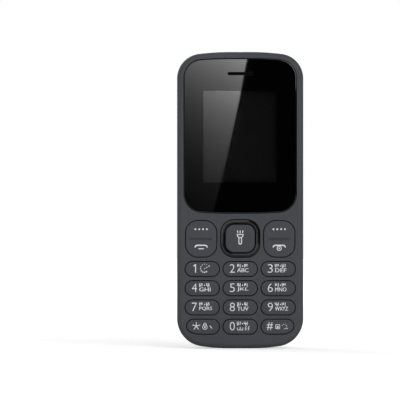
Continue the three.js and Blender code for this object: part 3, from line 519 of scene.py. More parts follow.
@dataclass(frozen=True)
class Finish:
    """What every finish has: its name, its colour, how rough it is and how strongly it mirrors."""

    name: str
    colour: Colour
    roughness: float
    specular: float = 0.5

    def build(self) -> Material:
        """The finish as a material."""
        tree = ShaderTree(self.name, self.roughness, self.specular)
        self.draw(tree)
        return tree.material

    def draw(self, tree: ShaderTree) -> None:
        """Adds what the finish shows on its plain surface."""
        raise NotImplementedError

    def tint(self, tree: ShaderTree, share: Socket, low: float, high: float) -> None:
        """Spreads the colour from low to high parts of itself, by a share."""
        tree.colour(share, scaled(self.colour, low), scaled(self.colour, high))

    def mottle(self, tree: ShaderTree, noise: Socket, low: float, high: float) -> None:
        """Spreads the colour from low to high parts of itself, by a noise."""
        self.tint(tree, tree.between(noise, 0, 1), low, high)

    def scuff(self, tree: ShaderTree, noise: Socket, less: float, more: float) -> None:
        """Spreads the roughness about its own value, by a noise."""
        tree.set("Roughness", tree.between(noise, self.roughness + less, self.roughness + more))


@dataclass(frozen=True)
class MouldedPlastic(Finish):
    """Moulded plastic with an eroded grain and faint blotches."""

    specular: float = 0.15
    grain: float = 0.16
    grain_depth: float = 0.006
    contrast: float = 0.05
    blotch: float = 14.0

    def draw(self, tree: ShaderTree) -> None:
        """Adds the blotches, the marks of handling and the grain."""
        self.mottle(tree, tree.noise(self.blotch, detail=3.0), 1 - self.contrast, 1 + self.contrast)
        self.scuff(tree, tree.noise(size=5.0, detail=4.0, stretch=(1, 1, 0.5)), -0.04, 0.05)
        tree.bump(tree.noise(self.grain), self.grain_depth)
        tree.bump(tree.noise(self.grain * 4, detail=1.0), self.grain_depth)


@dataclass(frozen=True)
class PolishedPlastic(Finish):
    """Polished plastic with the faintest of smears."""

    smear: float = 0.006

    def draw(self, tree: ShaderTree) -> None:
        """Adds the smears."""
        smears = tree.noise(size=9.0, detail=5.0, stretch=(1, 1, 0.35))
        self.mottle(tree, smears, 1, 1.2)
        self.scuff(tree, smears, 0, self.smear)


@dataclass(frozen=True)
class ClearPlastic(Finish):
    """Clear plastic, a little tinted."""

    refraction: float = 1.49

    def draw(self, tree: ShaderTree) -> None:
        """Makes the surface clear and adds a slight haze."""
        tree.set("Transmission Weight", 1.0)
        tree.set("IOR", self.refraction)
        self.mottle(tree, tree.noise(size=6.0, detail=3.0), 1, 0.96)


@dataclass(frozen=True)
class SheetMetal(Finish):
    """Rolled or plated sheet metal with fine lines along one direction."""

    lines: Triple = (0.06, 1, 1)
    line_width: float = 0.18
    line_depth: float = 0.004

    def draw(self, tree: ShaderTree) -> None:
        """Makes the surface metal and adds the lines."""
        tree.set("Metallic", 1.0)
        streaks = tree.noise(self.line_width, detail=3.0, stretch=self.lines)
        self.mottle(tree, streaks, 0.88, 1)
        self.scuff(tree, streaks, -0.05, 0.09)
        tree.bump(streaks, self.line_depth)


@dataclass(frozen=True)
class Rubber(Finish):
    """Moulded silicone rubber, dull and a little dusty."""

    specular: float = 0.3

    def draw(self, tree: ShaderTree) -> None:
        """Adds the dust and a fine grain."""
        self.mottle(tree, tree.noise(size=0.7, detail=5.0), 1, 1.5)
        tree.bump(tree.noise(size=0.25, detail=3.0), depth=0.01)


@dataclass(frozen=True)
class SolderMask(Finish):
    """A circuit board's solder mask, lighter over the copper tracks."""

    patch: float = 7.0
    pitch: float = 0.9
    track: float = 0.28
    bare_share: float = 0.35

    def draw(self, tree: ShaderTree) -> None:
        """Adds patches of straight tracks, up or across, and of bare mask."""
        inputs = {"Scale": 1 / (self.patch * MM), "Vector": tree.mapped(Scale=(1, 0, 1))}
        patches = tree.add("ShaderNodeTexVoronoi", inputs, distance="MANHATTAN")
        drawn = tree.parts(patches.outputs["Color"])
        place = tree.parts(tree.place)
        upright = tree.math("GREATER_THAN", drawn["X"], 0.5)
        turned = tree.math("SUBTRACT", place["X"], place["Z"])
        across = tree.math("MULTIPLY_ADD", turned, upright, place["Z"])
        wave = tree.math("PINGPONG", across, self.pitch / 2 * MM)
        track = tree.math("LESS_THAN", wave, self.track * MM)
        copper = tree.math("MULTIPLY", track, tree.math("GREATER_THAN", drawn["Y"], self.bare_share))
        self.tint(tree, copper, 1, 1.6)
        tree.bump(copper, depth=0.02)


@dataclass(frozen=True)
class StripedFilm(Finish):
    """Amber film with copper lines along it."""

    stripe: float = 0.5

    def draw(self, tree: ShaderTree) -> None:
        """Adds the lines."""
        inputs = {"Scale": 1 / (self.stripe * 6 * MM), "Vector": tree.place}
        lines = tree.add("ShaderNodeTexWave", inputs, bands_direction="X").outputs["Fac"]
        self.tint(tree, lines, 0.6, 1.3)
        tree.bump(lines, depth=0.02)


@dataclass(frozen=True)
class PrintedWrap(Finish):
    """A battery's printed wrap, shrunk on with fine creases: a dark ground and one lighter band."""

    band: Colour = (0.12, 0.125, 0.13)
    band_low: float = 24.0
    band_high: float = 34.0

    def draw(self, tree: ShaderTree) -> None:
        """Adds the band and the creases."""
        height = tree.parts(tree.place)["Z"]
        above = tree.math("GREATER_THAN", height, self.band_low * MM)
        below = tree.math("LESS_THAN", height, self.band_high * MM)
        tree.colour(tree.math("MULTIPLY", above, below), self.colour, self.band)
        creases = tree.noise(size=3.0, detail=6.0, stretch=(1, 1, 0.3))
        self.scuff(tree, creases, -0.05, 0.12)
        tree.bump(creases, depth=0.03)


@dataclass(frozen=True)
class Ink(Finish):
    """Printing ink, with a slightly uneven cover."""

    specular: float = 0.3

    def draw(self, tree: ShaderTree) -> None:
        """Adds the uneven cover and its grain."""
        self.mottle(tree, tree.noise(size=0.35, detail=3.0), 0.86, 1)
        tree.bump(tree.noise(size=0.12), depth=0.003)


@dataclass(frozen=True)
class DisplayFilm(Finish):
    """A switched-off display: dark, with a fine raster under a satin film."""

    specular: float = 0.9
    raster: float = 0.22

    def draw(self, tree: ShaderTree) -> None:
        """Adds the raster."""
        inputs = {
            "Vector": tree.mapped(Rotation=(QUARTER, 0, 0)),
            "Scale": 1 / MM,
            "Brick Width": self.raster,
            "Row Height": self.raster,
            "Mortar Size": self.raster / 10,
        }
        cells = tree.add("ShaderNodeTexBrick", inputs, offset=0)
        self.tint(tree, cells.outputs["Fac"], 1, 0.7)


@dataclass(frozen=True)
class Phosphor(Finish):
    """A small light: a white package with a yellow spot of phosphor."""

    spot: Colour = (0.85, 0.62, 0.08)
    spot_radius: float = 0.6

    def draw(self, tree: ShaderTree) -> None:
        """Adds the spot, about the upright axis."""
        away = tree.measure("LENGTH", tree.mapped(Scale=(1, 1, 0)))
        tree.colour(tree.math("LESS_THAN", away, self.spot_radius * MM), self.colour, self.spot)


class Slot(Enum):
    """The record's material slots."""

    BODY = "body_plastic"
    KEY = "key_plastic"
    WINDOW = "window_black"
    RING = "ring_gloss"
    RUBBER = "rubber"
    BLACK = "black_plastic"
    CLOTH = "dust_mesh"
    DISPLAY = "display_glass"
    WHITE = "white_plastic"
    FLEX = "flex_film"
    BOARD = "board_green"
    STEEL = "steel"
    GOLD = "gold_contact"
    BATTERY = "battery_case"
    LENS = "clear_lens"
    LED = "led_phosphor"


SLOT_FINISHES: dict[Slot, Finish] = {
    Slot.BODY: MouldedPlastic("housing_plastic", (0.0505, 0.0535, 0.0605), 0.52),
    Slot.KEY: MouldedPlastic(
        "key_plastic", (0.0495, 0.0525, 0.0605), 0.44, grain=0.12, grain_depth=0.003
    ),
    Slot.WINDOW: PolishedPlastic("window_print", (0.0004, 0.0004, 0.0005), 0.012),
    Slot.RING: PolishedPlastic("ring_gloss_black", (0.0006, 0.0006, 0.0008), 0.05, smear=0.02),
    Slot.RUBBER: Rubber("mat_rubber", (0.022, 0.022, 0.024), 0.8),
    Slot.BLACK: MouldedPlastic(
        "inner_black_plastic", (0.012, 0.012, 0.013), 0.55, grain=0.2, grain_depth=0.01
    ),
    Slot.CLOTH: Rubber("woven_black_cloth", (0.0022, 0.0022, 0.0022), 0.9, specular=0.1),
    Slot.DISPLAY: DisplayFilm("display_surface", (0.026, 0.0265, 0.027), 0.02),
    Slot.WHITE: MouldedPlastic("frame_white_plastic", (0.62, 0.62, 0.60), 0.45, contrast=0.02),
    Slot.FLEX: StripedFilm("flex_amber_film", (0.42, 0.17, 0.03), 0.35),
    Slot.BOARD: SolderMask("board_solder_mask", (0.012, 0.07, 0.035), 0.3),
    Slot.STEEL: SheetMetal("stamped_steel", (0.46, 0.47, 0.48), 0.3),
    Slot.GOLD: SheetMetal("gold_plate", (0.72, 0.47, 0.16), 0.24),
    Slot.BATTERY: PrintedWrap("battery_wrap", (0.022, 0.024, 0.028), 0.38),
    Slot.LENS: ClearPlastic("torch_lens_clear", (0.9, 0.92, 0.93), 0.04),
    Slot.LED: Phosphor("torch_phosphor", (0.8, 0.78, 0.7), 0.4),
}
LEGEND_INK = Ink("legend_ink", (0.68, 0.69, 0.70), 0.5)
# Dark ink painted across each soft key as the shade of a groove that the key does not have
GROOVE_SHADE_INK = Ink("faint_line_ink", (0.026, 0.027, 0.031), 0.5)
DISPLAY_LENS = ClearPlastic("display_lens", (0.62, 0.62, 0.63), 0.012)


class Finishes:
    """Builds each finish once and hands it out."""

    def __init__(self) -> None:
        self.built: dict[str, Material] = {}

    def get(self, finish: Finish) -> Material:
        """The material of a finish."""
        if finish.name not in self.built:
            self.built[finish.name] = finish.build()
        return self.built[finish.name]

    def of(self, slot: Slot) -> Material:
        """The material of a slot."""
        return self.get(SLOT_FINISHES[slot])


# Sub-assemblies


@dataclass
class Assembly:
    """Pieces that are built and fastened together."""

    finishes: Finishes

    def fasten(self, piece: Piece, body: str, slot: Slot, *nodes: str) -> None:
        """Makes a piece ride on a body, in the place of some nodes.

        Args:
            piece: The finished piece.
            body: The body that carries it.
            slot: Not used.
            nodes: The nodes that it stands for.
        """
        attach(piece, body)
        if nodes:
            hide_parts(*nodes)
        log.info("%s rides on %s", piece.name, body)

    def dress(self, slot: Slot, *nodes: str) -> None:
        """Gives nodes of the frame their finish."""
        for node in nodes:
            data = bpy.data.objects[node].data
            data.materials.clear()
            data.materials.append(self.finishes.of(slot))
            log.info("%s is dressed as %s", node, slot.value)


BODY = "phone_body"


@dataclass
class Layout:
    """Outlines that several sub-assemblies share, worked out from the frame."""

    top_corner: float = 9.4
    low_corner: float = 10.7
    top_crown: float = 95.0
    low_crown: float = 75.0
    window_corner: float = 7.0
    window_crown: float = 150.0
    key_gap: float = 0.3
    key_radius: float = 2.65
    soft_key_radius: float = 4.5
    ring_radius: float = 5.0
    ring_band: float = 1.45
    corner_sweep: float = 5.0
    ear_slot_width: float = 9.5
    ear_slot_height: float = 1.05

    def __post_init__(self) -> None:
        front = Box.of("front_housing")
        window = Box.of("display_window")
        self.face = front.low.y
        self.top = front.high.z
        self.body = CrownedOutline(
            front.high.x,
            OutlineEnd(front.low.z, self.low_crown, self.low_corner),
            OutlineEnd(front.high.z, self.top_crown, self.top_corner),
        )
        self.window = CrownedOutline(
            window.high.x,
            OutlineEnd(window.low.z, self.window_crown, self.window_corner),
            OutlineEnd(window.high.z, self.window_crown, self.window_corner),
        )
        cloth = Box.of("earpiece_mesh").middle
        width, height = self.ear_slot_width, self.ear_slot_height
        self.ear_slot = RoundedBox(cloth.x, cloth.z, width, height, height / 2)

    def key_box(self, node: str) -> RoundedBox:
        """The outline of a key, read from its node."""
        box = Box.of(node)
        if node in ("call_key", "end_key"):
            return box.outline(self.soft_key_radius)
        if node == "nav_ring":
            return box.outline(self.ring_radius)
        if node == "centre_key":
            return box.outline(self.ring_radius - self.ring_band - self.key_gap)
        side = {"key_star": -1, "key_hash": 1}.get(node, 0)
        middle, size = box.middle, box.size
        return RoundedBox(middle.x, middle.z, size.x, size.z, self.key_radius, side, self.corner_sweep)


NUMBER_KEYS = ("1", "2", "3", "4", "5", "6", "7", "8", "9", "star", "0", "hash")


@dataclass
class FrontHousing(Assembly):
    """The shell round the window and the keys."""

    layout: Layout
    edge_radius: float = 1.8
    edge_steps: int = 12
    face_thickness: float = 1.3
    rim: float = 2.0
    seam_edge: float = 0.12
    seam: float = 0.2
    lip_outside: float = 0.4
    lip_inside: float = 1.2
    lip_gap: float = 0.02
    opening_edge: float = 0.09
    opening_steps: int = 3
    window_gap: float = 0.1
    ledge_thickness: float = 0.8
    ledge_overlap: float = 1.0
    sight_margin: float = 1.0
    sight_corner: float = 0.5
    ear_recess: float = 0.9
    mic_radius: float = 0.5
    mic_x: float = 6.4
    lens_clearance: float = 0.1
    bore_sides: int = 32

    def build(self) -> None:
        """Builds the shell."""
        skin = Skin()
        layout = self.layout
        box = Box.of("front_housing")
        window = Box.of("display_window")
        face, back = layout.face, Box.of("back_cover").low.y - self.seam
        inner = face + self.face_thickness
        outer = front_round(layout.body.ring, face, self.edge_radius, self.edge_steps)
        lip = Box.of("back_cover").low.y - self.lip_gap
        for inset, y in (
            (0, back - self.seam_edge),
            (self.seam_edge, back),
            (self.lip_outside, back),
            (self.lip_outside, lip),
            (self.lip_inside, lip),
            (self.lip_inside, back),
            (self.rim, back),
            (self.rim, inner),
        ):
            outer.append((layout.body.ring(inset), y))
        rings = skin.stack(outer)
        nodes = [*(f"key_{label}" for label in NUMBER_KEYS), "call_key", "end_key", "nav_ring"]
        mouths = [self.mouth(skin, layout.key_box(node), layout.key_gap, inner) for node in nodes]
        recess = self.mouth(skin, layout.window, self.window_gap, inner)
        for i in (0, -1):
            skin.fill(rings[i], recess[i], *(mouth[i] for mouth in mouths))
        piece = skin.finish("front_housing_shell", self.finishes.of(Slot.BODY), shaded=False)
        ledge = self.ledge(window.high.y + self.window_gap, window.low.z - self.ledge_overlap)
        combine(piece, ledge, "UNION")
        combine(piece, self.bores(box))
        shade(piece)
        self.fasten(piece, BODY, Slot.BODY, "front_housing")

    def ledge(self, front: float, low: float) -> Piece:
        """The plate that the window lies on, with the openings for the picture and the earpiece.

        Args:
            front: The depth of its front.
            low: How far down it reaches.

        Returns:
            The plate, to be joined to the shell.
        """
        back = front + self.ledge_thickness
        shelf = Box.of("earpiece_mesh").high.y + self.window_gap
        side = self.layout.body.half_width - self.rim / 2
        top = [p for p in self.layout.body.ring(self.rim / 2) if p[1] > low]
        slot = self.layout.ear_slot
        skin = Skin()
        plate = skin.stack([([(side, low), *top, (-side, low)], y) for y in (front, back)])
        sight = skin.stack([(self.sight_opening().ring(), y) for y in (front, back)])
        pocket, throat = slot.ring(-self.ear_recess), slot.ring()
        ear = skin.stack([(pocket, front), (pocket, shelf), (throat, shelf), (throat, back)])
        skin.fill(plate[0], sight[0], ear[0])
        skin.fill(plate[1], sight[1], ear[-1])
        return skin.finish("ledge_plate", shaded=False)

    def mouth(
        self, skin: Skin, outline: CrownedOutline | RoundedBox, gap: float, back: float
    ) -> list[Ring]:
        """An opening in the face with a broken edge.

        Args:
            skin: The mesh it goes into.
            outline: The outline of what fills it.
            gap: The clearance round that.
            back: The depth that its wall reaches.

        Returns:
            Its rings, from the face inwards.
        """

        def widened(inset: float) -> list[Point]:
            """The opening's outline, moved outwards by inset."""
            return outline.ring(-gap - inset)

        levels = front_round(widened, self.layout.face, self.opening_edge, self.opening_steps)
        return skin.stack([*levels, (outline.ring(-gap), back)])

    def sight_opening(self) -> RoundedBox:
        """The opening in the ledge that the display is seen through."""
        sight = DisplayWindow.sight_outline()
        width, height = sight.width + 2 * self.sight_margin, sight.height + 2 * self.sight_margin
        return RoundedBox(sight.x, sight.z, width, height, self.sight_corner)

    def bores(self, box: Box) -> Piece:
        """The tool for the torch's bore in the upper end and the microphone's in the lower end."""
        tool = Skin()
        lens = Box.of("torch_lens")
        microphone = Box.of("microphone")
        for x, y, z, radius in (
            (lens.middle.x, lens.middle.y, box.high.z, lens.size.x / 2 + self.lens_clearance),
            (self.mic_x, microphone.middle.y, box.low.z, self.mic_radius),
        ):
            ends = [(radius, z - 2 * self.rim), (radius, z + 2 * self.rim)]
            tool.column(x, y, ends, self.bore_sides)
        return tool.finish("bore_tool", shaded=False)


@dataclass
class DisplayWindow(Assembly):
    """The printed window and what lies behind it."""

    layout: Layout
    edge: float = 0.34
    edge_steps: int = 4
    slot_edge: float = 0.075
    slot_steps: int = 3

    @staticmethod
    def sight_outline() -> RoundedBox:
        """The clear area over the picture."""
        panel = Box.of("lcd_panel")
        side_border, top_border, low_border, corner = 2.98, 2.9, 8.5, 0.25
        low, high = panel.low.z + low_border, panel.high.z - top_border
        width = panel.size.x - 2 * side_border
        return RoundedBox(panel.middle.x, (low + high) / 2, width, high - low, corner)

    def build(self) -> None:
        """Builds the window and dresses the display."""
        skin = Skin()
        box = Box.of("display_window")
        outline = self.layout.window
        levels = front_round(outline.ring, box.low.y, self.edge, self.edge_steps)
        rim = skin.stack([*levels, (outline.ring(), box.high.y)])
        slot = self.layout.ear_slot
        levels = front_round(lambda inset: slot.ring(-inset), box.low.y, self.slot_edge, self.slot_steps)
        throat = skin.stack([*levels, (slot.ring(), box.high.y)])
        sight = self.sight_outline().ring()
        front, back = skin.ring(sight, box.low.y), skin.ring(sight, box.high.y)
        skin.fill(rim[0], throat[0], front)
        skin.fill(rim[-1], throat[-1], back)
        skin.fill(front, finish=1)
        skin.fill(back, finish=1)
        clear = self.finishes.get(DISPLAY_LENS)
        piece = skin.finish("window_pane", self.finishes.of(Slot.WINDOW), clear)
        self.fasten(piece, BODY, Slot.WINDOW, "display_window")
        self.dress(Slot.DISPLAY, "lcd_panel")
        self.dress(Slot.WHITE, "backlight_frame")
        self.dress(Slot.FLEX, "display_flex")
        self.dress(Slot.STEEL, "earpiece")
        cloth = WovenCloth(self.finishes, "earpiece_mesh", pitch=0.21, wire=0.095, rise=0.03)
        cloth.build("earpiece_cloth")


class GeometryTree(NodeTree):
    """A Geometry Nodes tree with named sizes."""

    def __init__(self, name: str, sizes: dict[str, float]) -> None:
        self.tree = bpy.data.node_groups.new(name, "GeometryNodeTree")
        face = self.tree.interface
        face.new_socket("Geometry", in_out="INPUT", socket_type="NodeSocketGeometry")
        self.sockets = {}
        for label, value in sizes.items():
            socket = face.new_socket(label, in_out="INPUT", socket_type="NodeSocketFloat")
            socket.default_value = value
            self.sockets[label] = socket.identifier
        finish = face.new_socket("Finish", in_out="INPUT", socket_type="NodeSocketMaterial")
        self.sockets["Finish"] = finish.identifier
        face.new_socket("Geometry", in_out="OUTPUT", socket_type="NodeSocketGeometry")
        self.input = self.add("NodeGroupInput")
        self.output = self.add("NodeGroupOutput")
        self.sizes = sizes

    def size(self, label: str) -> Socket:
        """The socket of a named size."""
        return self.input.outputs[label]

    def make(self, kind: str, inputs: Inputs | None = None, **settings: Any) -> Socket:
        """What a new node makes."""
        return self.add(kind, inputs, **settings).outputs[0]

    def moved(self, shape: Socket, **inputs: Any) -> Socket:
        """A shape that is moved or turned."""
        return self.make("GeometryNodeTransform", {"Geometry": shape, **inputs})

    def copies(self, points: Socket, shape: Socket) -> Socket:
        """A shape on each of some points, made real."""
        copies = self.make("GeometryNodeInstanceOnPoints", {"Points": points, "Instance": shape})
        return self.make("GeometryNodeRealizeInstances", {"Geometry": copies})

    def close(self, shape: Socket) -> None:
        """Ends the tree, with the finish set."""
        inputs = {"Geometry": shape, "Material": self.input.outputs["Finish"]}
        self.link(self.make("GeometryNodeSetMaterial", inputs), self.output.inputs["Geometry"])

    def grow(self, name: str, data: bpy.types.Mesh, finish: Material) -> Piece:
        """Runs the tree on a mesh and keeps what it makes as a plain piece.

        Args:
            name: The piece's name.
            data: The mesh that the tree starts from.
            finish: The material that the tree sets.

        Returns:
            The piece, without a modifier.
        """
        piece = make_object(name, data)
        modifier = piece.modifiers.new("grow", "NODES")
        modifier.node_group = self.tree
        for label, value in self.sizes.items():
            modifier[self.sockets[label]] = value
        modifier[self.sockets["Finish"]] = finish
        settle(piece)
        return piece


def along(axis: int, reach: float) -> list[float]:
    """A vector along one axis, from millimetres to metres."""
    return [reach * MM if i == axis else 0.0 for i in range(3)]


@dataclass
class WovenCloth(Assembly):
    """A fine woven cloth in the place of a flat node."""

    node: str
    pitch: float
    wire: float
    rise: float
    steps_a_pitch: int = 2
    wire_sides: int = 5

    def tree(self, box: Box) -> GeometryTree:
        """The weave: two sets of wires that pass over and under each other."""
        sizes = {"Pitch": self.pitch * MM, "Wire": self.wire * MM, "Rise": self.rise * MM}
        tree = GeometryTree("weave_of_" + self.node, sizes)
        join = tree.add("GeometryNodeJoinGeometry")
        for sign, axis, across in ((1.0, 0, 2), (-1.0, 2, 0)):
            tree.link(self.wires(tree, sign, axis, across, box), join.inputs["Geometry"])
        tree.close(tree.moved(join.outputs["Geometry"], Translation=box.middle * MM))
        return tree

    def wires(self, tree: GeometryTree, sign: float, axis: int, across: int, box: Box) -> Socket:
        """One set of wires.

        Args:
            tree: The tree they are built in.
            sign: Whether they start over or under the others.
            axis: The axis that they run along.
            across: The axis that they are spread along.
            box: The room that they fill.

        Returns:
            Their mesh.
        """
        length, spread = box.size[axis] - 2 * self.wire, box.size[across] - 2 * self.wire
        count = int(spread / self.pitch) + 1
        first = along(across, -(count - 1) / 2 * self.pitch)
        row = {"Count": count, "Start Location": first, "Offset": along(across, self.pitch)}
        points = tree.make("GeometryNodeMeshLine", row, mode="OFFSET")
        ends = {"Start": along(axis, -length / 2), "End": along(axis, length / 2)}
        wire = tree.make("GeometryNodeCurvePrimitiveLine", ends)
        steps = int(length / self.pitch * self.steps_a_pitch) + 1
        fine = tree.make("GeometryNodeResampleCurve", {"Curve": wire, "Count": steps})
        straight = tree.copies(points, fine)
        place = tree.parts(tree.make("GeometryNodeInputPosition"))
        waves = []
        for name in ("X", "Z"):
            turn = tree.math("DIVIDE", place[name], tree.size("Pitch"))
            waves.append(tree.math("COSINE", tree.math("MULTIPLY", turn, math.pi)))
        height = tree.math("MULTIPLY", tree.math("MULTIPLY", *waves), tree.size("Rise"))
        lift = tree.vector(0.0, tree.math("MULTIPLY", height, sign), 0.0)
        bent = tree.make("GeometryNodeSetPosition", {"Geometry": straight, "Offset": lift})
        round_inputs = {"Resolution": self.wire_sides, "Radius": tree.size("Wire")}
        profile = tree.make("GeometryNodeCurvePrimitiveCircle", round_inputs)
        tube = {"Curve": bent, "Profile Curve": profile, "Fill Caps": True}
        return tree.make("GeometryNodeCurveToMesh", tube)

    def build(self, name: str) -> None:
        """Builds the cloth."""
        tree = self.tree(Box.of(self.node))
        piece = tree.grow(name, bpy.data.meshes.new(name), self.finishes.of(Slot.CLOTH))
        self.fasten(piece, BODY, Slot.CLOTH, self.node)


# Keys


class Legend:
    """Printed marks on a key, in the key's own x and z, gathered into one mesh."""

    def __init__(self, form: KeyForm) -> None:
        self.skin = Skin()
        self.x = form.outline.x
        self.z = form.outline.z
        self.surface = form.surface
        self.over = 0.02
        self.layer = 0.0015
        self.under = 0.08
        self.stride = 0.45
        self.dot_sides = 14
        self.ring_sides = 24
        self.cap_steps = 6

    def shape(self, *outlines: Sequence[Point]) -> None:
        """A printed area: an outline and the holes in it, a little over the one before it."""
        self.over += self.layer
        fronts, backs = [], []
        for outline in outlines:
            points = [(self.x + x, self.z + z) for x, z in outline]
            front = self.skin.ring(points, -self.over)
            back = self.skin.ring(points, self.under)
            self.skin.band(front, back)
            fronts.append(front)
            backs.append(back)
        self.skin.fill(*fronts)
        self.skin.fill(*backs)

    def dot(self, x: float, z: float, radius: float) -> None:
        """A round dot."""
        self.shape(circle(x, z, radius, self.dot_sides))

    def ring(self, x: float, z: float, radius: float, width: float) -> None:
        """A round line."""
        self.shape(*(circle(x, z, radius + side * width / 2, self.ring_sides) for side in (1, -1)))

    @staticmethod
    def beside(point: Point, before: float, after: float, half: float) -> tuple[Point, Point]:
        """The places left and right of a line's corner.

        Args:
            point: The corner.
            before: The heading that the line comes in with.
            after: The heading that it goes on with.
            half: Half of the line's width.

        Returns:
            The left place and the right one.
        """
        turn = math.remainder(after - before, 2 * math.pi) / 2
        side = before + turn + QUARTER
        reach = half / max(math.cos(turn), MITRE_LIMIT)
        x, z = reach * math.cos(side), reach * math.sin(side)
        return (point[0] + x, point[1] + z), (point[0] - x, point[1] - z)

    def line(self, points: Sequence[Point], width: float) -> None:
        """A line with round ends.

        Args:
            points: The corners that it passes.
            width: How wide it is.
        """
        half = width / 2
        headings = [math.atan2(b[1] - a[1], b[0] - a[0]) for a, b in zip(points, points[1:])]
        turns = zip(points, [headings[0], *headings], [*headings, headings[-1]])
        left, right = zip(*(self.beside(*turn, half) for turn in turns))
        caps = []
        for point, start in ((points[-1], headings[-1] + QUARTER), (points[0], headings[0] - QUARTER)):
            caps.append(arc(point, (half, half), start, start - 2 * QUARTER, self.cap_steps)[1:-1])
        self.shape([*left, *caps[0], *right[::-1], *caps[1]])

    def loop(self, points: Sequence[Point], width: float) -> None:
        """A closed line of some width about its corners."""
        ends = [*points, points[0]]
        headings = [math.atan2(b[1] - a[1], b[0] - a[0]) for a, b in zip(ends, ends[1:])]
        turns = zip(points, [headings[-1], *headings], headings)
        self.shape(*zip(*(self.beside(*turn, width / 2) for turn in turns)))

    def text(self, words: str, place: Point, size: Point, weight: float = 0.0) -> None:
        """Plain letters or numbers, fitted to a width and a height about a middle.

        Args:
            words: What they say.
            place: Their middle, measured from the key's.
            size: Their width and height.
            weight: How much their strokes gain, in parts of their height.
        """
        curve = bpy.data.curves.new("legend", "FONT")
        curve.body = words
        curve.extrude = 1.0
        curve.resolution_u = 3
        curve.offset = weight
        source = make_object("legend", curve)
        graph = bpy.context.evaluated_depsgraph_get()
        graph.update()
        self.over += self.layer
        data = bpy.data.meshes.new_from_object(source.evaluated_get(graph), depsgraph=graph)
        corners = [v.co for v in data.vertices]
        low = [min(c[i] for c in corners) for i in range(2)]
        high = [max(c[i] for c in corners) for i in range(2)]
        scale = (size[0] / (high[0] - low[0]), size[1] / (high[1] - low[1]))
        for vertex in data.vertices:
            co = vertex.co
            at_x = self.x + place[0] + (co.x - (low[0] + high[0]) / 2) * scale[0]
            at_z = self.z + place[1] + (co.y - (low[1] + high[1]) / 2) * scale[1]
            vertex.co = (at_x, -self.over if co.z > 0 else self.under, at_z)
        self.skin.mesh.from_mesh(data)
        bpy.data.objects.remove(source)
        bpy.data.curves.remove(curve)
        bpy.data.meshes.remove(data)

    def press(self, name: str, ink: Material) -> Piece:
        """Lays the flat printing onto the key's crowned top, and ends it as a piece."""
        mesh = self.skin.mesh
        bmesh.ops.remove_doubles(mesh, verts=mesh.verts, dist=MERGE_DISTANCE)
        for axis, middle in ((0, self.x), (2, self.z)):
            normal = Vector((axis == 0, 0, axis == 2))
            low = min(v.co[axis] for v in mesh.verts)
            high = max(v.co[axis] for v in mesh.verts)
            first = math.floor((low - middle) / self.stride)
            last = math.ceil((high - middle) / self.stride)
            for i in range(first, last):
                place = normal * (middle + (i + 0.5) * self.stride)
                parts = mesh.verts[:] + mesh.edges[:] + mesh.faces[:]
                bmesh.ops.bisect_plane(mesh, geom=parts, plane_co=place, plane_no=normal)
        for vertex in mesh.verts:
            vertex.co.y += self.surface(vertex.co.x - self.x, vertex.co.z - self.z)
        return self.skin.finish(name, ink, shaded=False)


@dataclass(frozen=True)
class KeyForm:
    """A cap's crowned top and round edge."""

    outline: RoundedBox
    front: float
    back: float
    edge: float
    crown: float
    edge_steps: int = 6

    # The rings of the top, as parts of its rim
    rows: tuple[float, ...] = (0.96, 0.86, 0.72, 0.56, 0.4, 0.24, 0.1)

    def surface(self, x: float, z: float) -> float:
        """The depth of the cap's top at a place measured from its middle."""
        half_width, half_height = self.outline.width / 2, self.outline.height / 2
        fall = ((x / half_width) ** 2 + (z / half_height) ** 2) / 2
        return self.front + self.crown * fall

    def skin(self) -> Skin:
        """The cap as a closed mesh."""
        skin = Skin()
        outline = self.outline
        rings = [skin.ring(outline.ring(), self.back)]
        for i in range(self.edge_steps + 1):
            turn = QUARTER * i / self.edge_steps
            inset = self.edge * (1 - math.cos(turn))
            drop = self.edge * (1 - math.sin(turn))
            rings.append(skin.ring(outline.ring(inset), lambda x, z: self.depth(x, z) + drop))
        rim = outline.ring(self.edge)
        for share in self.rows:
            middle_x, middle_z = outline.x * (1 - share), outline.z * (1 - share)
            points = [(middle_x + x * share, middle_z + z * share) for x, z in rim]
            rings.append(skin.ring(points, self.depth))
        for first, second in zip(rings, rings[1:]):
            skin.band(first, second)
        skin.plug(rings[-1])
        skin.fill(rings[0])
        return skin

    def depth(self, x: float, z: float) -> float:
        """The depth of the cap's top at a place in the frame."""
        return self.surface(x - self.outline.x, z - self.outline.z)


@dataclass
class KeyGroup(Assembly):
    """Keys that are built alike: a cap, and printing that rides on it."""

    layout: Layout
    edge: float = 0.22
    crown: float = 0.12

    def cap(self, node: str, body: str) -> KeyForm:
        """Puts a cap in the place of a node, and gives back its form."""
        box = Box.of(node)
        form = KeyForm(self.layout.key_box(node), box.low.y, box.high.y, self.edge, self.crown)
        piece = form.skin().finish(f"{node}_cap", self.finishes.of(Slot.KEY))
        self.fasten(piece, body, Slot.KEY, node)
        return form

    def ink(self, legend: Legend, name: str, body: str, ink: Ink = LEGEND_INK) -> None:
        """Presses a key's printing, or a groove's painted shade, onto it, as a piece."""
        piece = legend.press(name, self.finishes.get(ink))
        self.fasten(piece, body, Slot.WHITE if ink is LEGEND_INK else Slot.KEY)


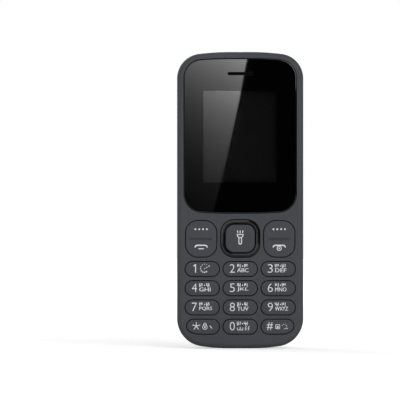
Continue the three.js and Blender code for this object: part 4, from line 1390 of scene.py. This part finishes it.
@dataclass
class Keypad(KeyGroup):
    """The number keys and the two soft keys, with their printing and a painted groove shade on each soft
    key.
    """

    digit_x: float = -3.0
    digit_z: float = 0.22
    digit_width: float = 1.95
    digit_height: float = 3.25
    digit_weight: float = -0.012
    hash_x: float = -2.9
    hash_size: Point = (2.3, 3.0)
    star_x: float = -2.55
    star_reach: float = 1.55
    star_arms: int = 5
    letters_low: float = -1.2
    letters_height: float = 1.5
    letters_left: float = -1.15
    letters_weight: float = 0.035
    three_letters: float = 4.3
    four_letters: float = 4.9
    strike_lift: float = 0.004
    marks_low: float = 0.5
    marks_high: float = 1.85
    marks_inset: float = 0.1
    group_pitch: float = 2.65
    tick_pitch: float = 0.52
    tick_unit: float = 0.2
    tick_lean: float = 0.12
    dot_inset: float = 2.05
    dot_radius: float = 0.25
    pen: float = 0.3
    fine_pen: float = 0.245
    # The painted groove shade across each soft key: its half length and its width
    groove_shade_reach: float = 3.8
    groove_shade_width: float = 1.0

    # Where the marks of the keys without letters are, from the key's middle
    arc_place: Point = (0.9, 0.15)
    padlock_place: Point = (0.75, 0.2)
    card_place: Point = (0.1, 0.0)
    space_place: Point = (1.2, -0.7)

    letters = dict(zip("23456789", ("ABC", "DEF", "GHI", "JKL", "MNO", "PQRS", "TUV", "WXYZ")))

    def build(self) -> None:
        """Builds every key of the pad."""
        for label in NUMBER_KEYS:
            node, body = f"key_{label}", f"cap_{label}"
            legend = Legend(self.cap(node, body))
            self.print_number(legend, label)
            self.ink(legend, f"{node}_legend", body)
        for node, body, side in (("call_key", "cap_call", -1), ("end_key", "cap_end", 1)):
            form = self.cap(node, body)
            legend = Legend(form)
            self.print_soft_key(legend, side)
            self.ink(legend, f"{node}_legend", body)
            # A dark line painted across the soft key as a groove's shade; the cap has no groove cut
            groove_shade = Legend(form)
            groove_shade.line([(-self.groove_shade_reach, 0), (self.groove_shade_reach, 0)], self.groove_shade_width)
            self.ink(groove_shade, f"{node}_line", body, GROOVE_SHADE_INK)

    def print_number(self, legend: Legend, label: str) -> None:
        """The number of a key, its letters and its small marks."""
        if label == "1":
            self.print_one(legend)
        elif label == "star":
            self.print_star(legend)
        elif label == "hash":
            legend.text("#", (self.hash_x, self.digit_z), self.hash_size)
        else:
            size = (self.digit_width, self.digit_height)
            legend.text(label, (self.digit_x, self.digit_z), size, self.digit_weight)
        words = self.letters.get(label)
        if words:
            span = self.three_letters if len(words) == 3 else self.four_letters
            middle = self.letters_left + span / 2
            rise = self.letters_low + self.letters_height / 2
            for shift in (-self.letters_weight, self.letters_weight):
                legend.over += self.strike_lift
                legend.text(words, (middle + shift, rise), (span, self.letters_height))
            self.print_marks(legend, int(label))
        elif label == "1":
            self.print_dotted_arc(legend, *self.arc_place)
        elif label == "star":
            self.print_padlock(legend, *self.padlock_place)
        elif label == "hash":
            self.print_card(legend, *self.card_place)
        else:
            self.print_space(legend, *self.space_place)
            self.print_marks(legend, 0)

    def print_one(self, legend: Legend) -> None:
        """The number 1: a stem with a small flag."""
        half, stem, flag = self.digit_height / 2, self.pen * 1.3, self.digit_width / 3
        right = self.digit_x + flag
        left = right - stem
        top, foot = self.digit_z + half, self.digit_z - half
        stem_foot = [(right, top), (right, foot), (left, foot), (left, top - stem * 1.6)]
        flag_end = [(left - flag, top - stem * 2.4), (left - flag, top - stem * 1.3)]
        legend.shape([(left, top), *stem_foot, *flag_end])

    def print_star(self, legend: Legend) -> None:
        """The star: an outline of straight arms."""
        outline = []
        x, z, half = self.star_x, self.digit_z, self.pen / 2
        reach = self.star_reach
        step = math.pi / self.star_arms
        for i in range(self.star_arms):
            angle = QUARTER + i * 2 * step
            heading = (math.cos(angle), math.sin(angle))
            for side in (-1, 1):
                across = (-heading[1] * half * side, heading[0] * half * side)
                outline.append((x + heading[0] * reach + across[0], z + heading[1] * reach + across[1]))
            crook = half / math.sin(step)
            outline.append((x + crook * math.cos(angle + step), z + crook * math.sin(angle + step)))
        legend.shape(outline)

    def print_marks(self, legend: Legend, seed: int) -> None:
        """Two small groups of plain ticks with a dot between them; the seed varies their lengths."""
        middle = (self.marks_low + self.marks_high) / 2
        for group in range(2):
            left = self.letters_left + self.marks_inset + group * self.group_pitch
            for i in range(3):
                x = left + self.tick_pitch * i
                low = self.marks_low + self.tick_unit * ((seed * 7 + group * 3 + i * 5) % 4)
                lean = self.tick_lean * ((seed + i) % 3 - 1)
                legend.line([(x, low), (x + lean, self.marks_high)], self.fine_pen)
            bar = middle + self.tick_unit * ((seed + group) % 4 - 1)
            right = left + self.tick_pitch * (1 + (seed + group) % 2)
            legend.line([(left, bar), (right, bar)], self.fine_pen)
        legend.dot(self.letters_left + self.dot_inset, middle, self.dot_radius)

    def print_dotted_arc(self, legend: Legend, x: float, z: float) -> None:
        """A closing spiral of dots that grow along it, and a row of dots out of its middle."""
        start, turn = 62, 30
        reach, closing = 1.75, 0.0525
        for i in range(9):
            angle = math.radians(start + turn * i)
            away = reach - closing * i
            legend.dot(x + away * math.cos(angle), z + away * math.sin(angle), 0.15 + 0.018 * i)
        for i in range(3):
            legend.dot(x + 0.85 * i, z + 0.5 * i, 0.2 + 0.04 * i)

    def print_padlock(self, legend: Legend, x: float, z: float) -> None:
        """A small padlock with a tick beside it."""
        legend.ring(x, z - 0.35, radius=0.85, width=self.fine_pen)
        legend.dot(x, z - 0.35, radius=0.34)
        shackle = arc((x, z + 0.45), (0.5, 0.7), 0, math.pi, 8)
        legend.line(shackle, self.fine_pen)
        tick = [(x + 1.9, z + 0.1), (x + 2.6, z - 0.7)]
        legend.line(tick, self.pen)

    def print_card(self, legend: Legend, x: float, z: float) -> None:
        """A small framed card, and a curl of fine dots."""
        frame = RoundedBox(x, z, width=1.8, height=1.8, radius=0.4)
        legend.shape(frame.ring(steps=3), frame.ring(self.fine_pen, steps=3))
        legend.dot(x, z - 0.15, radius=0.42)
        curl = arc((x + 2.5, z + 0.1), (0.9, 0.9), math.radians(150), math.radians(-90), 6)
        for point in curl:
            legend.dot(*point, radius=0.15)
        tail = [(x + 3.3, z - 0.8), (x + 3.8, z - 0.6)]
        legend.line(tail, self.fine_pen)

    def print_space(self, legend: Legend, x: float, z: float) -> None:
        """The open bar of the space key, an arrow over it and two bent ticks."""
        bar = [(x - 2.2, z + 0.3), (x - 2.2, z - 0.5), (x - 0.2, z - 0.5), (x - 0.2, z + 0.3)]
        legend.line(bar, self.fine_pen)
        arrow = [(x - 1.2, z + 0.5), (x - 1.2, z - 0.1)]
        legend.line(arrow, self.pen)
        for at in (x + 0.7, x + 1.8):
            tick = [(at + 0.5, z + 0.9), (at, z + 0.2), (at + 0.4, z - 0.1), (at, z - 0.6)]
            legend.line(tick, self.fine_pen)

    def print_soft_key(self, legend: Legend, side: int) -> None:
        """Four dots over a handset, lifted on the left key and laid down on the right one."""
        for x in (-2.19, -0.73, 0.73, 2.19):
            legend.dot(x, 3.7, radius=0.35)
        handset = [(-2.3, -3.1), (-2.1, -2.7), (-1.6, -2.45), (1.6, -2.45), (2.1, -2.7), (2.3, -3.1)]
        legend.line(handset, self.pen * 1.6)
        if side < 0:
            rest = [(-0.95, -3.75), (0.95, -3.75)]
            legend.line(rest, self.pen * 1.2)
        else:
            legend.ring(0, -3.6, radius=0.8, width=self.pen)
            legend.dot(0, -3.6, radius=0.28)


@dataclass
class DirectionKey(KeyGroup):
    """The gloss ring, its pad, and the centre key inside it."""

    edge: float = 0.42
    crown: float = 0.05
    pen: float = 0.34

    # Half of the ridge's profile: how far in, of half the band, and how high, of the whole height
    profile: tuple[Point, ...] = ((0, 0), (0.02, 0.1), (0.07, 0.21), (0.9, 0.945), (0.96, 0.985), (1, 1))
    corner_steps: int = 20
    crease: float = 10.0
    shoulder: float = 0.12

    def build(self) -> None:
        """Builds the ring and the centre key."""
        box = Box.of("nav_ring")
        outline = self.layout.key_box("nav_ring")
        band = self.layout.ring_band
        proud = self.layout.face - box.low.y + self.shoulder
        foot = self.layout.face + self.shoulder
        crest = [*self.profile, *((2 - share, rise) for share, rise in self.profile[-2::-1])]
        shares = [(band / 2 * share, foot - proud * rise) for share, rise in crest]
        shares += [(band, box.high.y), (0, box.high.y)]
        levels = [(outline.ring(inset, self.corner_steps), y) for inset, y in shares]
        skin = Skin()
        skin.stack(levels, looped=True)
        piece = skin.finish("direction_ring", self.finishes.of(Slot.RING), shaded=False)
        shade(piece, self.crease)
        self.fasten(piece, "direction_ring", Slot.RING, "nav_ring")
        self.dress(Slot.RUBBER, "nav_pad")
        legend = Legend(self.cap("centre_key", "cap_centre"))
        self.print_torch(legend)
        self.ink(legend, "centre_key_legend", "cap_centre")

    def print_torch(self, legend: Legend) -> None:
        """A hand torch with three rays."""
        left, right = (-0.5, 0.35), (0.5, 0.35)
        head = [(-1.15, 1.55), (1.15, 1.55), (1.0, 0.9), right]
        foot = arc((0, -1.7), (0.5, 0.45), 0, -math.pi, 6)
        legend.loop([*head, *foot, left, (-1.0, 0.9)], self.pen)
        legend.line([left, right], self.pen)
        for x in (-1.05, 0, 1.05):
            legend.line([(x * 0.85, 2.2), (x, 2.95)], self.pen)


# The back


@dataclass
class BackCover(Assembly):
    """The cover that wraps the back and the sides, with its grille."""

    layout: Layout
    wall: float = 1.2
    back_thickness: float = 1.1
    edge_radius: float = 3.2
    edge_steps: int = 14
    inner_steps: int = 8
    rim_edge: float = 0.12
    grille_below_top: float = 18.8
    pitch: float = 2.45
    columns: int = 7
    slot_width: float = 1.3
    grille_height: float = 7.6
    long_slot: float = 4.4
    single_slot: float = 3.9
    dot: float = 2.0
    slot_edge: float = 0.12
    slot_steps: int = 3
    notch_x: float = 7.9
    notch_radius: float = 6.0
    notch_sides: int = 96
    notch_depth: float = 0.5
    notch_length: float = 3.4
    port_margin: float = 0.6
    tab_length: float = 5.0
    tab_reach: float = 0.8
    tab_thickness: float = 1.4
    tab_corner: float = 0.2
    tab_count: int = 3
    tab_root: float = 0.3
    tab_gap: float = 0.1
    tool_reach: float = 1.0
    port_height: float = 8.0
    port_corner: float = 0.4
    corner_steps: int = 4
    jack_radius: float = 2.9
    jack_sides: int = 48
    jack_mouth: tuple[float, float] = (-2.0, 4.0)

    def slots(self) -> list[RoundedBox]:
        """The grille: columns of a dot and a slot by turns, and one short slot at each side."""
        middle = self.layout.top - self.grille_below_top
        half = self.grille_height / 2
        found = []
        for i in range(self.columns):
            x = (i - (self.columns - 1) / 2) * self.pitch
            if i in (0, self.columns - 1):
                spans = [(0.0, self.single_slot)]
            else:
                side = 1 if i % 2 else -1
                spans = [(side * (half - self.dot / 2), self.dot)]
                spans.append((-side * (half - self.long_slot / 2), self.long_slot))
            for z, height in spans:
                found.append(RoundedBox(x, middle + z, self.slot_width, height, self.slot_width / 2))
        return found

    def build(self) -> None:
        """Builds the cover."""
        box = Box.of("back_cover")
        front, back = box.low.y, box.high.y
        floor = back - self.back_thickness
        body = self.layout.body
        levels = [(body.ring(self.rim_edge), front), (body.ring(), front + self.rim_edge)]
        levels += back_round(body.ring, back, self.edge_radius, self.edge_steps)
        inner = [(body.ring(self.wall), front)]
        radius = self.edge_radius - self.wall
        inner += back_round(lambda inset: body.ring(self.wall + inset), floor, radius, self.inner_steps)
        skin = Skin()
        outer_rings = skin.stack(levels)
        inner_rings = skin.stack(inner)
        skin.band(outer_rings[0], inner_rings[0])
        fronts, backs = [], []
        for slot in self.slots():
            mouth = back_round(
                lambda inset, slot=slot: slot.ring(-inset), back, self.slot_edge, self.slot_steps
            )
            rings = skin.stack([(slot.ring(), floor), *mouth])
            fronts.append(rings[0])
            backs.append(rings[-1])
        skin.fill(outer_rings[-1], *backs)
        skin.fill(inner_rings[-1], *fronts)
        piece = skin.finish("back_cover_shell", self.finishes.of(Slot.BODY), shaded=False)
        combine(piece, self.tabs(front), "UNION")
        combine(piece, self.openings(box))
        shade(piece)
        self.fasten(piece, "cover", Slot.BODY, "back_cover")

    def tabs(self, front: float) -> Piece:
        """The snap tabs along both sides, as one tool."""
        battery = Box.of("battery_cell", "battery_cap")
        tool = Skin()
        reach = self.layout.body.half_width - self.wall - self.tab_reach / 2 + self.tab_root
        width = self.tab_reach + 2 * self.tab_root
        start = front + self.tab_gap
        for i in range(self.tab_count):
            z = battery.low.z + (i + 0.5) * battery.size.z / self.tab_count
            for side in (-1, 1):
                tab = RoundedBox(side * reach, z, width, self.tab_length, self.tab_corner)
                tool.prism(tab.ring(steps=3), start, start + self.tab_thickness)
        return tool.finish("tab_tool", shaded=False)

    def openings(self, box: Box) -> Piece:
        """The tool for the notch and for the mouths of both sockets."""
        tool = Skin()
        front = box.low.y - self.tool_reach
        notch_z = self.layout.top + self.notch_radius - self.notch_depth
        notch = circle(self.notch_x, notch_z, self.notch_radius, self.notch_sides)
        tool.prism(notch, front, box.low.y + self.notch_length)
        usb = Box.of("usb_socket")
        width = usb.size.x + 2 * self.port_margin
        port = RoundedBox(usb.middle.x, 0, width, self.port_height, self.port_corner)
        tool.prism(port.ring(steps=self.corner_steps), front, usb.high.y + self.port_margin)
        jack = Box.of("headset_jack")
        radius = self.jack_radius + self.port_margin / 2
        rows = [(radius, z) for z in self.jack_mouth]
        tool.column(jack.middle.x, jack.high.y - self.jack_radius, rows, self.jack_sides)
        return tool.finish("opening_tool", shaded=False)


@dataclass
class Loudspeaker(Assembly):
    """The loudspeaker and its cloth behind the grille."""

    def build(self) -> None:
        """Builds the cloth and dresses the speaker."""
        self.dress(Slot.BLACK, "loudspeaker")
        cloth = WovenCloth(self.finishes, "speaker_mesh", pitch=0.42, wire=0.11, rise=0.11)
        cloth.build("speaker_cloth")


@dataclass
class BatteryPack(Assembly):
    """The battery's cell in its wrap, and the cap that carries the contacts."""

    edge: float = 0.8
    edge_steps: int = 6
    corner: float = 0.9

    def build(self) -> None:
        """Builds the cell."""
        box = Box.of("battery_cell")
        outline = box.outline(self.corner)
        skin = Skin()
        front = front_round(outline.ring, box.low.y, self.edge, self.edge_steps)
        back = back_round(outline.ring, box.high.y, self.edge, self.edge_steps)
        rings = skin.stack(front + back)
        skin.fill(rings[0])
        skin.fill(rings[-1])
        piece = skin.finish("battery_can", self.finishes.of(Slot.BATTERY))
        self.fasten(piece, "battery", Slot.BATTERY, "battery_cell")
        self.dress(Slot.BLACK, "battery_cap")


@dataclass
class Screws(Assembly):
    """The six housing screws, with cross recesses in their heads."""

    head_radius: float = 1.45
    head_height: float = 0.9
    chamfer: float = 0.22
    shank_radius: float = 0.75
    recess_width: float = 0.34
    recess_length: float = 1.7
    recess_depth: float = 0.5
    sides: int = 40
    count: int = 6

    def tree(self) -> GeometryTree:
        """One screw on every point: a head with a broken edge and a cross recess, over a plain shank."""
        lengths = {
            "Head radius": self.head_radius,
            "Head height": self.head_height,
            "Chamfer": self.chamfer,
            "Shank radius": self.shank_radius,
            "Shank length": Box.of("housing_screw_1").size.y - self.head_height,
            "Recess width": self.recess_width,
            "Recess length": self.recess_length,
            "Recess depth": self.recess_depth,
        }
        tree = GeometryTree("housing_screw", {name: length * MM for name, length in lengths.items()})
        size = tree.size
        shoulder = tree.math("SUBTRACT", size("Head height"), size("Chamfer"))
        narrow = tree.math("SUBTRACT", size("Head radius"), size("Chamfer"))
        tip = tree.math("MULTIPLY", size("Shank length"), -1.0)
        body = tree.add("GeometryNodeMeshBoolean", operation="UNION", solver="EXACT")
        for low, high, depth, start in (
            (size("Head radius"), size("Head radius"), shoulder, 0.0),
            (size("Head radius"), narrow, size("Chamfer"), shoulder),
            (size("Shank radius"), size("Shank radius"), size("Shank length"), tip),
        ):
            cone = {"Vertices": self.sides, "Radius Bottom": low, "Radius Top": high, "Depth": depth}
            part = tree.make("GeometryNodeMeshCone", cone, fill_type="NGON")
            tree.link(tree.moved(part, Translation=tree.vector(0.0, 0.0, start)), body.inputs["Mesh 2"])
        uncut = {"Mesh 1": body.outputs["Mesh"]}
        recess = tree.add("GeometryNodeMeshBoolean", uncut, operation="DIFFERENCE", solver="EXACT")
        deep = tree.math("MULTIPLY", size("Recess depth"), 2.0)
        top = tree.vector(0.0, 0.0, size("Head height"))
        for x, y in (("Recess length", "Recess width"), ("Recess width", "Recess length")):
            bar = tree.make("GeometryNodeMeshCube", {"Size": tree.vector(size(x), size(y), deep)})
            tree.link(tree.moved(bar, Translation=top), recess.inputs["Mesh 2"])
        turned = tree.moved(recess.outputs["Mesh"], Rotation=(-QUARTER, 0, 0))
        tree.close(tree.copies(tree.input.outputs["Geometry"], turned))
        return tree

    def build(self) -> None:
        """Builds the screws as one piece."""
        nodes = [f"housing_screw_{i + 1}" for i in range(self.count)]
        data = bpy.data.meshes.new("housing_screws")
        seats = []
        for node in nodes:
            box = Box.of(node)
            seats.append(Vector((box.middle.x, box.high.y - self.head_height, box.middle.z)) * MM)
        data.from_pydata(seats, [], [])
        piece = self.tree().grow("housing_screws", data, self.finishes.of(Slot.STEEL))
        shade(piece)
        self.fasten(piece, BODY, Slot.STEEL, *nodes)


@dataclass
class Interior(Assembly):
    """What the covers hide: board, holders, rear housing and the rest, as the frame has them."""

    def build(self) -> None:
        """Dresses the inner pieces."""
        self.dress(Slot.BLACK, "rear_housing", "battery_connector")
        self.dress(Slot.BOARD, "circuit_board")
        self.dress(Slot.RUBBER, "keypad_rubber")
        self.dress(Slot.STEEL, "dome_sheet", "sim_holder_1", "sim_holder_2", "memory_card_holder")
        self.dress(Slot.STEEL, "vibration_motor", "motor_weight", "shield_can", "microphone")
        self.dress(Slot.GOLD, "antenna", "contact_spring_1", "contact_spring_2", "contact_spring_3")


@dataclass
class EndFittings(Assembly):
    """The torch in the upper end, and the sockets in the lower end."""

    dome: float = 0.25
    dome_steps: int = 7
    lens_sides: int = 40

    def build(self) -> None:
        """Builds the fittings."""
        self.lens()
        self.dress(Slot.LED, "torch_led")
        self.dress(Slot.BLACK, "headset_jack")
        self.dress(Slot.STEEL, "usb_socket")

    def lens(self) -> None:
        """The torch's lens: a round plug with a low dome."""
        box = Box.of("torch_lens")
        radius = box.size.x / 2
        foot = box.high.z - self.dome
        rows = [(radius, box.low.z), (radius, foot)]
        for i in range(1, self.dome_steps):
            turn = QUARTER * i / self.dome_steps
            rows.append((radius * math.cos(turn), foot + self.dome * math.sin(turn)))
        skin = Skin()
        skin.column(box.middle.x, box.middle.y, rows, self.lens_sides)
        piece = skin.finish("torch_lens_plug", self.finishes.of(Slot.LENS))
        self.fasten(piece, BODY, Slot.LENS, "torch_lens")


# The studio


@dataclass
class Studio:
    """Camera, floor, lamps and what the gloss reflects."""

    layout: Layout
    camera_x: float = -15.34
    camera_z: float = 56.66
    distance: float = 2000.0
    frame_width: float = 152.68
    sensor: float = 36.0
    floor_size: float = 6000.0
    floor_colour: Colour = (0.82, 0.82, 0.82)
    floor_span: Point = (150.0, 1300.0)
    floor_lift: Point = (0.42, 0.8)
    ambient: float = 0.45
    card_distance: float = 600.0
    card_reach: float = 30.0
    glare_peak: float = 5.2
    glare_fall: float = 0.064
    glare_lean: float = 0.55
    glare_corner: Point = (2.6, 108.0)

    # What the gloss sees along a direction: where it starts and ends, and how bright it is there
    room: tuple[Point, Point] = ((-0.99, -0.9), (0.004, 0.12))
    surround: tuple[Point, Point] = ((0.6, 0.98), (0.0, 1.0))
    soft_box: tuple[Point, Point] = ((0.35, 0.7), (0.0, 1.2))

    # Each lamp's name, place, width and radiance, where a white surface in full light is 1
    lamps: tuple[tuple[str, Triple, float, float], ...] = (
        ("key_lamp", (650.0, -1400.0, 650.0), 1100.0, 4.6),
        ("back_lamp", (-900.0, 1300.0, 900.0), 1100.0, 2.6),
    )

    # The glare's sharp edge on the window, from its top to its foot
    glare_edge: tuple[Point, ...] = (
        (3.9, 117.0),
        (2.6, 110.5),
        (-2.37, 85.3),
        (-6.95, 65.1),
        (-10.1, 52.85),
        (-12.3, 44.0),
    )
    edge_steps: int = 6

    def build(self) -> None:
        """Sets up the whole studio."""
        self.camera()
        self.world()
        self.floor()
        for name, place, width, radiance in self.lamps:
            self.lamp(name, place, width, radiance)
        self.glare_card()

    def camera(self) -> None:
        """A long lens square to the phone's face."""
        data = bpy.data.cameras.new("photo_camera")
        data.sensor_width = self.sensor
        data.lens = self.sensor * self.distance / self.frame_width
        data.clip_end = 100
        camera = make_object("photo_camera", data)
        camera.location = Vector((self.camera_x, self.layout.face - self.distance, self.camera_z)) * MM
        camera.rotation_euler = (QUARTER, 0, 0)
        bpy.context.scene.camera = camera

    def world(self) -> None:
        """A white surround for the camera, plain light for the phone, and a dim room for its gloss."""
        world = bpy.data.worlds.new("studio")
        bpy.context.scene.world = world
        tree = SurfaceTree(world, "ShaderNodeBackground")
        tree.set("Color", WHITE)
        place = tree.places["Generated"]
        depth = tree.parts(place)["Y"]
        corner = tree.measure("DOT_PRODUCT", place, (-math.sqrt(0.5), 0, math.sqrt(0.5)))
        room = tree.rise(depth, *self.room)
        surround = tree.rise(depth, *self.surround)
        soft_box = tree.rise(corner, *self.soft_box)
        mirrored = tree.math("MAXIMUM", tree.math("MAXIMUM", room, surround), soft_box)
        path = tree.add("ShaderNodeLightPath").outputs
        scattered = tree.math("GREATER_THAN", path["Diffuse Depth"], 0.5)
        mirrored = tree.blend("Float", scattered, mirrored, self.ambient)
        gloss = tree.blend("Float", path["Is Glossy Ray"], self.ambient, mirrored)
        clear = tree.blend("Float", path["Is Transmission Ray"], gloss, mirrored)
        tree.set("Strength", tree.blend("Float", path["Is Camera Ray"], clear, 1.0))

    def floor(self) -> None:
        """A pale floor that keeps the phone's shadow."""
        half = self.floor_size / 2
        skin = Skin()
        corners = [(-half, -half), (half, -half), (half, half), (-half, half)]
        skin.mesh.faces.new([skin.mesh.verts.new((x, y, 0)) for x, y in corners])
        tree = ShaderTree("pale_floor", roughness=0.9, specular=0.0)
        tree.set("Base Color", (*self.floor_colour, 1))
        tree.set("Emission Color", WHITE)
        span = (self.floor_span[0] * MM, self.floor_span[1] * MM)
        glow = tree.rise(tree.measure("LENGTH", tree.place), span, self.floor_lift)
        seen = tree.add("ShaderNodeLightPath").outputs["Is Camera Ray"]
        tree.set("Emission Strength", tree.blend("Float", seen, 0.0, glow))
        skin.finish("pale_floor", tree.material, shaded=False)

    def lamp(self, name: str, place: Triple, width: float, radiance: float) -> None:
        """A square soft lamp that looks at the phone.

        Args:
            name: Its name.
            place: Where it stands, in millimetres.
            width: How wide its panel is.
            radiance: How bright the panel is.
        """
        data = bpy.data.lights.new(name, "AREA")
        data.shape = "SQUARE"
        data.size = width * MM
        data.energy = radiance * math.pi * (width * MM) ** 2
        lamp = make_object(name, data)
        lamp.location = Vector(place) * MM
        aim = Vector((0, 0, self.camera_z)) - Vector(place)
        lamp.rotation_euler = aim.to_track_quat("-Z", "Y").to_euler()
        lamp.visible_camera = False

    def on_card(self, point: Point) -> Point:
        """Where the mirror image of a place on the window lies on the glare's card."""
        share = self.card_distance / self.distance
        return (
            point[0] + (point[0] - self.camera_x) * share,
            point[1] + (point[1] - self.camera_z) * share,
        )

    def glare_card(self) -> None:
        """A lit card in front of the phone that only its gloss sees: a slanted glare across the window."""
        edge = self.smooth_edge()
        left = -self.layout.body.half_width - self.card_reach
        outline = [self.on_card(p) for p in [(left, edge[0][1]), *edge, (left, edge[-1][1])]]
        skin = Skin()
        skin.fill(skin.ring(outline, self.layout.face - self.card_distance))
        material = bpy.data.materials.new("glare_card")
        tree = SurfaceTree(material, "ShaderNodeEmission")
        across, up = self.on_card(self.glare_corner)
        fall = self.glare_fall / (1 + self.card_distance / self.distance)
        lean = tree.measure("DOT_PRODUCT", tree.places["Object"], (self.glare_lean, 0, 1))
        level = -fall * (self.glare_lean * across + up) + math.log(self.glare_peak)
        power = tree.math("MULTIPLY_ADD", lean, fall / MM, level)
        tree.set("Strength", tree.math("EXPONENT", power))
        card = skin.finish("glare_card", material, shaded=False)
        card.visible_camera = False
        card.visible_diffuse = False
        card.visible_shadow = False

    def smooth_edge(self) -> list[Point]:
        """The glare's edge as a smooth line through its given points."""
        points = [self.glare_edge[0], *self.glare_edge, self.glare_edge[-1]]
        line: list[Point] = []
        for corners in zip(points, points[1:], points[2:], points[3:]):
            for i in range(self.edge_steps):
                t = i / self.edge_steps
                weights = (
                    -t / 2 + t**2 - t**3 / 2,
                    1 - 2.5 * t**2 + 1.5 * t**3,
                    t / 2 + 2 * t**2 - 1.5 * t**3,
                    -(t**2) / 2 + t**3 / 2,
                )
                line.append(tuple(sum(w * p[k] for w, p in zip(weights, corners)) for k in (0, 1)))
        return [*line, self.glare_edge[-1]]


def main() -> None:
    """Loads the frame, sets up the studio and builds the phone."""
    logging.basicConfig(level=logging.INFO, format="%(name)s: %(message)s")
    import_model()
    layout = Layout()
    finishes = Finishes()
    Studio(layout).build()
    for group in (FrontHousing, DisplayWindow, Keypad, DirectionKey, BackCover):
        group(finishes, layout).build()
    for group in (Loudspeaker, BatteryPack, Screws, EndFittings, Interior):
        group(finishes).build()
    bpy.context.scene.view_settings.view_transform = "Standard"


if __name__ == "__main__":
    main()
